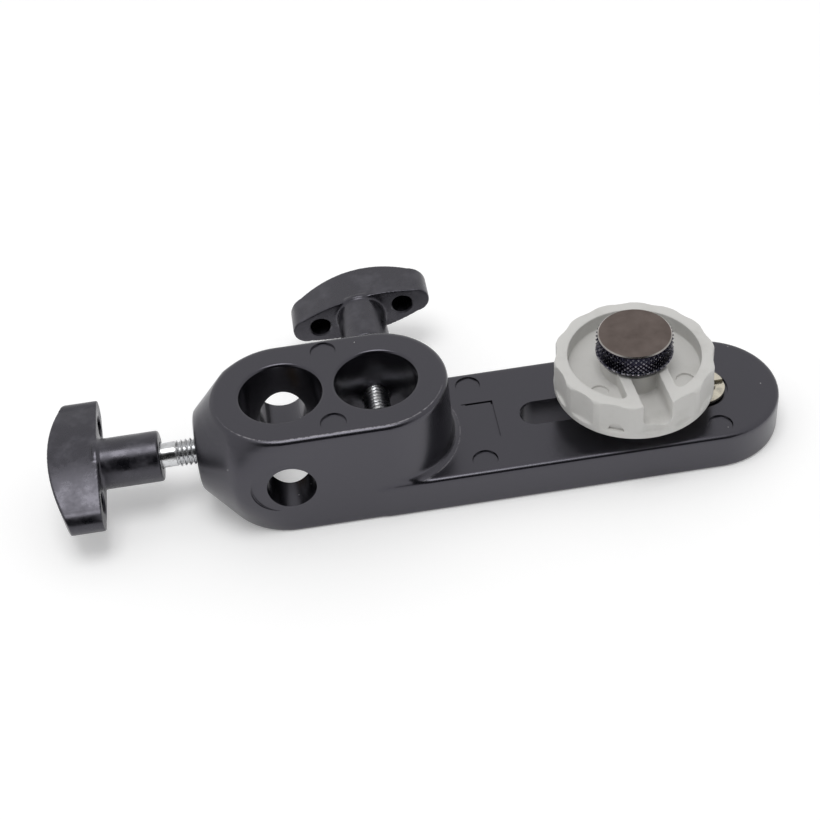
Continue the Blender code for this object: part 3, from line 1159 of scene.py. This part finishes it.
    def cross_hole(self) -> Obj:
        """The rod hole across the left socket.

        Returns:
            The cutter.
        """
        reach = 20 * MM
        profile = [(self.cross_radius, -reach), (self.cross_radius, reach)]
        hole = Shape.turned("cross_hole", profile, 80)
        lay = Matrix.Rotation(math.pi / 2, 4, "X")
        return Bench.moved(hole, Matrix.Translation((self.cross_x, 0, self.axis_z)) @ lay)

    def spot_face(self) -> Obj:
        """The spot face in the front wall, which runs out to the right and below.

        Returns:
            The cutter.
        """
        profile = [(self.spot_radius - 0.1 * MM, 0.0), (self.spot_radius, 0.1 * MM)]
        profile.append((self.spot_radius + 0.1 * MM, 5 * MM))
        spot = Shape.turned("spot_face", profile, 80)
        lay = Matrix.Rotation(math.pi / 2 - self.spot_lean, 4, "X")
        lay = Matrix.Rotation(self.spot_tilt, 4, "Z") @ lay
        place = (self.spot_x, self.spot_y, self.axis_z + self.spot_rise)
        return Bench.moved(spot, Matrix.Translation(place) @ lay)

    def thread_holes(self) -> Obj:
        """The holes of the two clamp screws, chamfered outside.

        Returns:
            The cutters, joined.
        """
        radius, lip = self.thread_radius, 0.5 * MM
        start, deep = 5 * MM, 40 * MM

        holes = []
        for x, outside, axis in (
            (-self.socket_half, -self.nose_end_x - self.socket_half, "Y"),
            (self.socket_half, self.rim_radius + 0.25 * MM, "X"),
        ):
            profile = [(radius, start), (radius, outside - lip)]
            profile += [(radius + lip, outside), (radius + lip, deep)]
            place = Matrix.Translation((x, 0, self.axis_z))
            lay = place @ Matrix.Rotation(-math.pi / 2, 4, axis)
            holes.append(Bench.moved(Shape.turned("thread_hole", profile, 48), lay))
        return Bench.group("thread_holes", holes)


@dataclass
class Clamp:
    """A tee clamp screw: moulded handle, zinc-plated stud and brass swivel tip."""

    side: Side
    out: Vector
    level: Vector
    turn: float
    moulding: Moulding = Moulding(0.2 * MM, 8, 0.3)
    half_length: float = 16.6 * MM
    half_width: float = 5.5 * MM
    end_radius: float = 3.3 * MM
    centre_depth: float = 10.8 * MM
    end_depth: float = 7.2 * MM
    stem_radius: float = 5.6 * MM
    stem_length: float = 13.2 * MM
    stem_flare: float = 0.6 * MM
    pocket_radius: float = 2.4 * MM
    pocket_offset: float = 10.0 * MM
    pocket_depth: float = 5.0 * MM
    stud_radius: float = 3.0 * MM
    stud_length: float = 22.8 * MM
    stud_root: float = 9.0 * MM
    pitch: float = 1.0 * MM
    shank: float = 3.2 * MM
    tip_radius: float = 2.0 * MM
    tip_proud: float = 1.7 * MM

    def __post_init__(self) -> None:
        """Works out the pose that lays the handle along X with its stem end at the origin."""
        self.body = f"{self.side.value}_clamp"
        knob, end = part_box(f"{self.body}_knob"), middle(f"{self.body}_stud")
        axis = 0 if abs(self.out.x) > 0.5 else 1
        end[axis] = knob[0][axis] if self.out[axis] > 0 else knob[1][axis]
        bar = self.level * math.cos(self.turn) + Vector((0, 0, math.sin(self.turn)))
        across = self.out.cross(bar)
        turned = Matrix((bar, across, self.out)).transposed().to_4x4()
        self.pose = Matrix.Translation(end) @ turned

    def build(self, palette: Palette) -> None:
        """Builds and dresses the clamp's three pieces.

        Args:
            palette: The object's materials.
        """
        body, tip = self.body, f"{self.side.value}_tip"
        pieces = (
            (self.handle(), palette.nylon, body, "black_nylon", f"{body}_knob"),
            (self.stud(), palette.zinc, body, "zinc_plate", f"{body}_stud"),
            (self.tip(), palette.brass, tip, "brass", f"{body}_tip"),
        )
        for piece, finish, rides, slot, node in pieces:
            Bench.moved(piece, self.pose)
            Bench.finished(piece, 40)
            deliver(piece, finish, rides, node)

    def handle(self) -> Obj:
        """The lens-shaped bar with its arched outer face, on its round stem.

        Returns:
            The handle.
        """
        foot, top = self.stem_length, self.stem_length + self.centre_depth
        bar = Shape.turned(f"{self.body}_handle", [(MM, foot), (MM, top + MM)], 96)
        straight = self.half_length - self.end_radius
        for point in bar.data.vertices:
            angle = math.atan2(point.co.y, point.co.x)
            along = self.half_length * math.cos(angle)
            point.co.x = along
            point.co.y = math.copysign(self.width(abs(along), straight), math.sin(angle))
        Bench.boolean(bar, [self.arch(top)], Join.KEEP)
        radius, flare = self.stem_radius, self.stem_flare
        profile = footed(radius, 0.0, 0.5 * MM)
        profile += [(radius, foot - flare), (radius + 0.25 * flare, foot - 0.4 * flare)]
        profile += [(radius + 0.8 * flare, foot), (radius + 0.8 * flare, foot + 1 * MM)]
        Bench.boolean(bar, [Shape.turned("stem", profile, 64)], Join.ADD)
        Bench.cast(bar, self.moulding)
        cuts = [self.pocket(side) for side in (-1, 1)]
        bore = [(radius * 0.55, -1 * MM), (radius * 0.55, self.stud_root)]
        cuts.append(Shape.turned("bore", bore, 48))
        Bench.boolean(bar, [Bench.group("cuts", cuts)], Join.CUT)
        return Bench.closed(bar)

    def width(self, along: float, straight: float) -> float:
        """The handle's half width at a distance from its middle.

        Args:
            along: The distance from the middle.
            straight: The distance at which the round end starts.

        Returns:
            The half width.
        """
        if along > straight:
            return math.sqrt(max(self.end_radius**2 - (along - straight) ** 2, 1e-9))
        return self.half_width + (self.end_radius - self.half_width) * (along / straight) ** 2

    def arch(self, top: float) -> Obj:
        """The drum whose wall gives the handle its arched outer face.

        Args:
            top: The height of the bar's highest point.

        Returns:
            The drum.
        """
        drop = self.centre_depth - self.end_depth
        radius = (self.half_length**2 + drop**2) / (2 * drop)
        half = 10 * MM
        drum = Shape.turned("arch", [(radius, -half), (radius, half)], 256)
        lay = Matrix.Rotation(math.pi / 2, 4, "X")
        return Bench.moved(drum, Matrix.Translation((0, 0, top - radius)) @ lay)

    def pocket(self, side: int) -> Obj:
        """One blind pocket in the handle's inner face, with a small lead-in.

        Args:
            side: Which end of the handle, -1 or 1.

        Returns:
            The cutter.
        """
        lead = 0.3 * MM
        foot = self.stem_length
        profile = [
            (self.pocket_radius + 2 * lead, foot - lead),
            (self.pocket_radius, foot + lead),
            (self.pocket_radius, foot + self.pocket_depth),
        ]
        pocket = Shape.turned("pocket", profile, 48)
        return Bench.moved(pocket, Matrix.Translation((side * self.pocket_offset, 0, 0)))

    def stud(self) -> Obj:
        """The M6 stud, plain where it leaves the handle and hollow at its far end.

        Returns:
            The stud.
        """
        stud = Shape.threaded(
            f"{self.body}_thread",
            self.stud_radius,
            self.pitch,
            -self.stud_length,
            self.stud_root,
            0.6 * MM,
            self.stud_root + self.shank,
        )
        radius, end = self.tip_radius + 0.3 * MM, -self.stud_length
        bore = [(radius, end - MM), (radius, end + 3.4 * MM)]
        return Bench.boolean(stud, [Shape.turned("bore", bore, 32)], Join.CUT)

    def tip(self) -> Obj:
        """The swivel tip that bears on a spigot.

        Returns:
            The tip.
        """
        profile = footed(self.tip_radius, -self.stud_length - self.tip_proud, 0.4 * MM)
        profile.append((self.tip_radius, -self.stud_length + 3.0 * MM))
        return Shape.turned(f"{self.body}_swivel", profile, 32)


@dataclass
class LockWheel:
    """The grey wheel that locks the screw along the slot, with its insert and washer."""

    moulding: Moulding = Moulding(0.2 * MM, 3, 0.35)
    ring_inner: float = 14.5 * MM
    floor: float = 19.0 * MM
    flutes: int = 14
    flute_depth: float = 0.7 * MM
    flute_radius: float = 12.0 * MM
    flute_phase: float = 0.77
    foot: float = 1.6 * MM
    edge: float = 0.7 * MM
    hub_radius: float = 7.3 * MM
    hub_top: float = 22.0 * MM
    channel_width: float = 6.2 * MM
    channel_floor: float = 17.3 * MM
    channel_angle: float = math.radians(-86)
    channel_hollow: float = 1.4 * MM
    half_mark_turn: float = math.radians(30)
    half_mark_radius: float = 1.6 * MM
    rib: float = 2.3 * MM
    fillet: float = 1.1 * MM
    seat_radius: float = 7.0 * MM
    seat_depth: float = 1.6 * MM
    bore_radius: float = 5.8 * MM
    clear_radius: float = 3.4 * MM

    def __post_init__(self) -> None:
        """Takes the wheel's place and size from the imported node."""
        low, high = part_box("lock_wheel")
        self.x = (low.x + high.x) / 2
        self.bottom, self.top = low.z, high.z
        self.radius = (high.x - low.x) / 2

    def build(self, palette: Palette) -> None:
        """Builds and dresses the wheel, its insert and the washer under it.

        Args:
            palette: The object's materials.
        """
        pieces = (
            (self.wheel(), palette.acetal, "wheel", "grey_acetal", "lock_wheel"),
            (self.ring("wheel_insert"), palette.brass, "wheel_carrier", "brass", "wheel_insert"),
            (self.ring("slot_washer"), palette.zinc, "slot_slider", "zinc_plate", "slot_washer"),
        )
        for piece, finish, body, slot, node in pieces:
            Bench.moved(piece, Matrix.Translation((self.x, 0, 0)))
            Bench.finished(piece)
            deliver(piece, finish, body, node)

    def ring(self, node: str) -> Obj:
        """A turned ring in the place of a CAD node: the insert or a washer.

        Args:
            node: The CAD node.

        Returns:
            The ring.
        """
        low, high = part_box(node)
        radius, edge = (high.x - low.x) / 2, 0.15 * MM
        profile = footed(radius, low.z, edge, 2) + rounded(radius, high.z, edge, 2)
        ring = Shape.turned(f"{node}_ring", profile, 64)
        return bored(ring, self.clear_radius, low.z, high.z, edge)

    def wheel(self) -> Obj:
        """The wheel, moulded first and then bored and marked.

        Returns:
            The wheel.
        """
        profile = footed(self.radius, self.bottom, 0.5 * MM)
        profile += rounded(self.radius, self.top, self.edge)
        wheel = Shape.turned("grey_lock_wheel", profile, 112)
        cuts = [self.recess(), self.channel()]
        cuts.append(Bench.group("flutes", [self.flute(k) for k in range(self.flutes)]))
        over = 1 * MM
        trim = [(self.hub_radius, self.hub_top), (self.hub_radius, self.top + over)]
        cuts.append(Shape.turned("hub_trim", trim, 96))
        Bench.boolean(wheel, cuts, Join.CUT)
        Bench.cast(wheel, self.moulding)
        return Bench.closed(Bench.boolean(wheel, [self.bores(), self.marks()], Join.CUT))

    def bores(self) -> Obj:
        """The bore for the insert and the seat for the washer, as one stepped cutter.

        Returns:
            The cutter.
        """
        over = 1 * MM
        ceiling = self.bottom + self.seat_depth
        profile = [
            (self.seat_radius, self.bottom - over),
            (self.seat_radius, ceiling),
            (self.bore_radius, ceiling),
            (self.bore_radius, self.top + over),
        ]
        return Shape.turned("bores", profile, 96)

    def marks(self) -> Obj:
        """Ejector-pin marks on the floor, and the half-round one low on the wall.

        Returns:
            The cutters, joined.
        """
        depth, draft, radius = 0.45 * MM, 0.06 * MM, 2.0 * MM
        profile = [(radius - draft, -depth), (radius + draft, 0.0), (radius + 4 * draft, depth)]
        marks = []
        for x, y in ((-9.1 * MM, -6.3 * MM), (9.8 * MM, -6.4 * MM), (0.0, 11.2 * MM)):
            place = Matrix.Translation((x, y, self.floor))
            marks.append(Bench.moved(Shape.turned("mark", profile, 40), place))
        return Bench.group("marks", [*marks, self.half_mark()])

    def half_mark(self) -> Obj:
        """The half-round mark that stands on the foot, on the facet left of the channel.

        Returns:
            The cutter.
        """
        depth, radius, foot = 0.35 * MM, self.half_mark_radius, self.bottom + self.foot + 0.3 * MM
        mark = Shape.turned("half_mark", [(radius, -depth), (radius + depth, MM)], 40)
        turn = Matrix.Rotation(self.channel_angle - self.half_mark_turn, 4, "Z")
        out = Matrix.Translation((self.radius - self.flute_depth, 0, foot))
        Bench.moved(mark, turn @ out @ Matrix.Rotation(math.pi / 2, 4, "Y"))
        reach = 30 * MM
        upper = Shape.bar("upper", (-reach, -reach, foot), (reach, reach, reach))
        return Bench.boolean(mark, [upper], Join.KEEP)

    def recess(self) -> Obj:
        """The recess round the hub, left open for the ribs, with filleted corners.

        Returns:
            The cutter.
        """
        size, half = self.fillet, self.channel_width / 2 + self.rib
        rim_x = math.sqrt((self.ring_inner - size) ** 2 - (half + size) ** 2)
        hub_x = math.sqrt((self.hub_radius + size) ** 2 - (half + size) ** 2)
        rim_turn = math.atan2(half + size, rim_x)
        hub_turn = math.atan2(half + size, hub_x)
        whole, right = 2 * math.pi, math.pi / 2
        outline = arc(0, 0, self.ring_inner, rim_turn, whole - rim_turn, 90)
        outline += arc(rim_x, -half - size, size, -rim_turn, right, 8)
        outline += arc(hub_x, -half - size, size, right, math.pi - hub_turn, 5)
        outline += arc(0, 0, self.hub_radius, -hub_turn, hub_turn - whole, 60)
        outline += arc(hub_x, half + size, size, math.pi + hub_turn, 3 * right, 5)
        outline += arc(rim_x, half + size, size, -right, rim_turn, 8)
        recess = Shape.outlined("recess", outline, self.floor, self.top + 1 * MM)
        return Bench.moved(recess, Matrix.Rotation(self.channel_angle, 4, "Z"))

    def channel(self) -> Obj:
        """The open channel from the hub out through the rim, its floor slightly hollow.

        Returns:
            The cutter.
        """
        over = 1 * MM
        half, reach = self.channel_width / 2, self.radius + 2 * over
        channel = Shape.bar(
            "channel", (0, -half, self.channel_floor), (reach, half, self.top + over)
        )
        bpy.ops.object.mode_set(mode="EDIT")
        bpy.ops.mesh.select_all(action="DESELECT")
        bpy.ops.object.mode_set(mode="OBJECT")
        for edge in channel.data.edges:
            start, end = (channel.data.vertices[k].co for k in edge.vertices)
            low = max(start.z, end.z) < self.channel_floor + MM / 2
            edge.select = low and abs(start.y - end.y) < MM / 2
        bpy.ops.object.mode_set(mode="EDIT")
        bpy.ops.mesh.select_mode(type="EDGE")
        bpy.ops.mesh.bevel(offset=self.channel_hollow, segments=5, affect="EDGES")
        bpy.ops.mesh.select_mode(type="VERT")
        bpy.ops.object.mode_set(mode="OBJECT")
        hub = [(self.hub_radius, self.channel_floor - over), (self.hub_radius, self.top + 2 * over)]
        Bench.boolean(channel, [Shape.turned("hub", hub, 96)], Join.CUT)
        return Bench.moved(channel, Matrix.Rotation(self.channel_angle, 4, "Z"))

    def flute(self, index: int) -> Obj:
        """One shallow finger flute, which stops above the wheel's foot.

        Args:
            index: Which flute, counted from the channel.

        Returns:
            The cutter.
        """
        away = self.radius + self.flute_radius - self.flute_depth
        angle = self.channel_angle + (index + self.flute_phase) * 2 * math.pi / self.flutes
        low, high = self.bottom + self.foot, self.top + 1 * MM
        profile = [
            (self.flute_radius - 0.4 * MM, low),
            (self.flute_radius, low + 0.4 * MM),
            (self.flute_radius, high),
        ]
        place = Matrix.Translation((away * math.cos(angle), away * math.sin(angle), 0))
        return Bench.moved(Shape.turned("flute", profile, 96), place)


@dataclass
class ThumbScrew:
    """The thumb screw: knurled head, washer and camera thread."""

    bevel: float = 0.25 * MM
    taper: float = 0.42 * MM
    knurls: int = 46
    knurl_depth: float = 0.5 * MM
    foot_edge: float = 0.5 * MM
    pitch: float = 1.27 * MM
    bore_radius: float = 3.4 * MM
    bore_gap: float = 0.3 * MM

    def __post_init__(self) -> None:
        """Takes the head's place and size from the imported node."""
        low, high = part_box("thumb_screw_head")
        self.x = (low.x + high.x) / 2
        self.bottom, self.top = low.z, high.z
        self.radius = (high.x - low.x) / 2

    def build(self, palette: Palette) -> None:
        """Builds and dresses the head, the screw and the washer under the head.

        Args:
            palette: The object's materials.
        """
        head = self.head()
        for finish in (palette.face, palette.knurl, palette.edge):
            head.data.materials.append(finish)
        washer = LockWheel().ring("thumb_screw_washer")
        pieces = (
            (head, palette.face, "thumb_screw", "black_nickel", "thumb_screw_head"),
            (self.screw(), palette.zinc, "thumb_screw", "zinc_plate", "thumb_screw_stud"),
            (washer, palette.zinc, "screw_carrier", "zinc_plate", "thumb_screw_washer"),
        )
        for piece, finish, body, slot, node in pieces:
            Bench.moved(piece, Matrix.Translation((self.x, 0, 0)))
            Bench.finished(piece)
            if piece is head:
                self.dress(head)
            deliver(piece, finish, body, node)

    def head(self) -> Obj:
        """The head, whose diamond knurl narrows into a thin bright bevel.

        Returns:
            The head.
        """
        low, high = self.bottom, self.top
        knurl_low, knurl_high = low + self.foot_edge, high - self.bevel
        rows = [low, low + 0.5 * self.foot_edge]
        rows += [knurl_low + (knurl_high - knurl_low) * k / 48 for k in range(49)]
        rows += [high - 0.8 * self.bevel, high - 0.3 * self.bevel, high]
        lean = 2 * math.pi / self.knurls

        def groove(turns: float) -> float:
            """How far down one set of grooves the surface is, from 0 to 1."""
            return abs(2 * (turns % 1.0) - 1)

        def reach(angle: float, height: float) -> float:
            """The head's radius at an angle and a height.

            Args:
                angle: The angle round the axis, in radians.
                height: The height along the axis.

            Returns:
                The radius.
            """
            if height > knurl_high + 1e-6:
                share = (height - knurl_high) / self.bevel
                return self.radius - self.taper - self.bevel * share
            if height < knurl_low - 1e-6:
                return self.radius - (knurl_low - height)
            climb = (height - low) / (self.radius * lean)
            turns = angle / lean
            dip = max(groove(turns + climb), groove(turns - climb))
            up = min(max((height - knurl_high) / self.taper + 1, 0.0), 1.0)
            ends = min(height - knurl_low, 1.5 * (knurl_high - height)) / (0.3 * MM)
            return self.radius - up * self.taper - self.knurl_depth * dip * min(ends, 1.0)

        head = Shape.wrapped("thumb_screw_cap", rows, self.knurls * 12, reach)
        worn = head.data.attributes.new("worn", "FLOAT", "POINT")
        for point, value in zip(head.data.vertices, worn.data):
            depth = self.radius - math.hypot(point.co.x, point.co.y)
            value.value = max(1 - depth / (0.7 * self.knurl_depth), 0.0)
        screw_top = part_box("thumb_screw_stud")[1].z
        radius = self.bore_radius
        bore = [(radius, low - 1 * MM), (radius, screw_top + self.bore_gap)]
        return Bench.boolean(head, [Shape.turned("bore", bore, 48)], Join.CUT)

    def dress(self, head: Obj) -> None:
        """Gives the knurled wall and the bevel their own finishes.

        Args:
            head: The finished head.
        """
        for face in head.data.polygons:
            if face.center.z < self.top - self.bevel:
                face.material_index = 1
            elif face.center.z < self.top - 0.01 * MM:
                face.material_index = 2

    def screw(self) -> Obj:
        """The camera thread, a quarter inch across at twenty turns to the inch.

        Returns:
            The screw.
        """
        low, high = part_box("thumb_screw_stud")
        radius = (high.x - low.x) / 2
        lead, run = 0.7 * MM, 1 * MM
        return Shape.threaded("thumb_screw_thread", radius, self.pitch, low.z, high.z, lead, run)


@dataclass
class Bushing:
    """The reducer bushing in the plate's end: threaded inside and out, with a driver slot."""

    slot_width: float = 1.6 * MM
    slot_depth: float = 0.7 * MM
    body_radius: float = 4.7 * MM
    flange: float = 0.9 * MM
    bore_radius: float = 3.1 * MM
    outer_pitch: float = 1.5875 * MM
    inner_pitch: float = 1.27 * MM

    def build(self, palette: Palette) -> None:
        """Builds and dresses the bushing.

        Args:
            palette: The object's materials.
        """
        low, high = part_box("reducer_bushing")
        centre, radius = (low + high) / 2, (high.x - low.x) / 2
        edge = 0.3 * MM
        under = high.z - self.flange
        name, end = "reducer_bushing_sleeve", under + edge
        bushing = Shape.threaded(name, self.body_radius, self.outer_pitch, low.z, end, MM, MM)
        profile = footed(radius, under, 0.15 * MM, 2) + rounded(radius, high.z, edge, 3)
        Bench.boolean(bushing, [Shape.turned("flange", profile, 80)], Join.ADD)
        over = 1 * MM
        start, end = low.z - over, high.z + over
        inner = Shape.threaded(
            "inner", self.bore_radius, self.inner_pitch, start, end, MM / 2, 0.0
        )
        lead = [(3.0 * MM, high.z - 0.5 * MM), (3.9 * MM, high.z + 0.4 * MM)]
        half = self.slot_width / 2
        foot = high.z - self.slot_depth
        slot = Shape.bar("slot", (-2 * radius, -half, foot), (2 * radius, half, high.z + over))
        Bench.boolean(bushing, [inner, Shape.turned("lead", lead, 64), slot], Join.CUT)
        Bench.moved(bushing, Matrix.Translation((centre.x, 0, 0)))
        Bench.finished(Bench.closed(bushing))
        deliver(bushing, palette.pale, "bracket", "reducer_bushing")


@dataclass
class Studio:
    """A white table in an even white surround, with a dark zone low in front of it."""

    target: Vector
    azimuth: float = math.radians(-3.986)
    elevation: float = math.radians(43.779)
    roll: float = math.radians(-5.688)
    distance: float = 0.36
    lens: float = 72.08
    sensor: float = 36.0
    table: float = 3.0
    backlight: float = 0.22
    surround: float = 0.77
    shade: float = 0.01
    shade_elevation: float = math.radians(24)
    shade_start: float = 0.6
    shade_full: float = 0.91
    lamp_size: float = 0.55
    lamp_power: float = 3.2
    lamp_place: tuple[float, float, float] = (-0.05, -0.12, 1.0)

    def towards(self, elevation: float) -> Vector:
        """The direction from the bracket to the camera's side, at a height in radians."""
        level, a = math.cos(elevation), self.azimuth
        return Vector((math.sin(a) * level, -math.cos(a) * level, math.sin(elevation)))

    def camera(self) -> None:
        """Places the camera on its arc round the target and rolls it."""
        back = self.towards(self.elevation)
        side = Vector((math.cos(self.azimuth), math.sin(self.azimuth), 0))
        above = back.cross(side)
        right = side * math.cos(self.roll) + above * math.sin(self.roll)
        up = above * math.cos(self.roll) - side * math.sin(self.roll)
        data = bpy.data.cameras.new("camera")
        data.lens, data.sensor_width = self.lens, self.sensor
        data.clip_start, data.clip_end = 0.01, 20.0
        camera = bpy.data.objects.new("camera", data)
        bpy.context.scene.collection.objects.link(camera)
        pose = Matrix((right, up, back)).transposed().to_4x4()
        camera.matrix_world = Matrix.Translation(self.target + back * self.distance) @ pose
        bpy.context.scene.camera = camera

    def floor(self) -> None:
        """A plain white table top, level with the bracket's underside."""
        Bench.clear()
        bpy.ops.mesh.primitive_plane_add(size=self.table, location=(0, 0, 0))
        table = Bench.added("table_top")
        made, shader, _ = Finish("backlit white card", "#F4F4F4", 0.7).start()
        shader.inputs["Emission Color"].default_value = linear("#FFFFFF")
        shader.inputs["Emission Strength"].default_value = self.backlight
        table.data.materials.append(made)

    def lights(self) -> None:
        """The surround as a world shader, and one broad lamp overhead."""
        scene = bpy.context.scene
        scene.world = world = bpy.data.worlds.new("surround")
        world.use_nodes = True
        ground = world.node_tree.nodes["Background"].inputs
        ground["Color"].default_value = linear("#FFFFFF")
        place = add(world, "TexCoord", {}).outputs["Generated"]
        dark = {0: place, 1: self.towards(self.shade_elevation)}
        facing = add(world, "VectorMath", dark, operation="DOT_PRODUCT").outputs["Value"]
        ramp = {"Value": facing, "From Min": self.shade_start, "From Max": self.shade_full}
        ramp |= {"To Min": self.surround, "To Max": self.shade}
        fade = add(world, "MapRange", ramp, interpolation_type="SMOOTHSTEP")
        world.node_tree.links.new(fade.outputs[0], ground["Strength"])
        lamp = bpy.data.lights.new("softbox", "AREA")
        lamp.shape, lamp.size, lamp.energy = "DISK", self.lamp_size, self.lamp_power
        holder = bpy.data.objects.new("softbox", lamp)
        scene.collection.objects.link(holder)
        holder.location = self.lamp_place
        aim = self.target - Vector(self.lamp_place)
        holder.rotation_euler = aim.to_track_quat("-Z", "Y").to_euler()

    def build(self) -> None:
        """Sets camera, table, light and a plain view transform."""
        self.camera()
        self.floor()
        self.lights()
        bpy.context.scene.view_settings.view_transform = "Standard"


def main() -> None:
    """Builds the studio and every piece."""
    logging.basicConfig(level=logging.INFO, format="%(message)s")
    Studio(Vector((17.045, 0.0, 15.885)) * MM).build()
    palette = Palette(middle("thumb_screw_head").x)
    right, back = Vector((1, 0, 0)), Vector((0, 1, 0))
    Casting().build(palette)
    Clamp(Side.LEFT, -right, back, math.radians(11)).build(palette)
    Clamp(Side.REAR, back, right, math.radians(10)).build(palette)
    LockWheel().build(palette)
    ThumbScrew().build(palette)
    Bushing().build(palette)


if __name__ == "__main__":
    main()
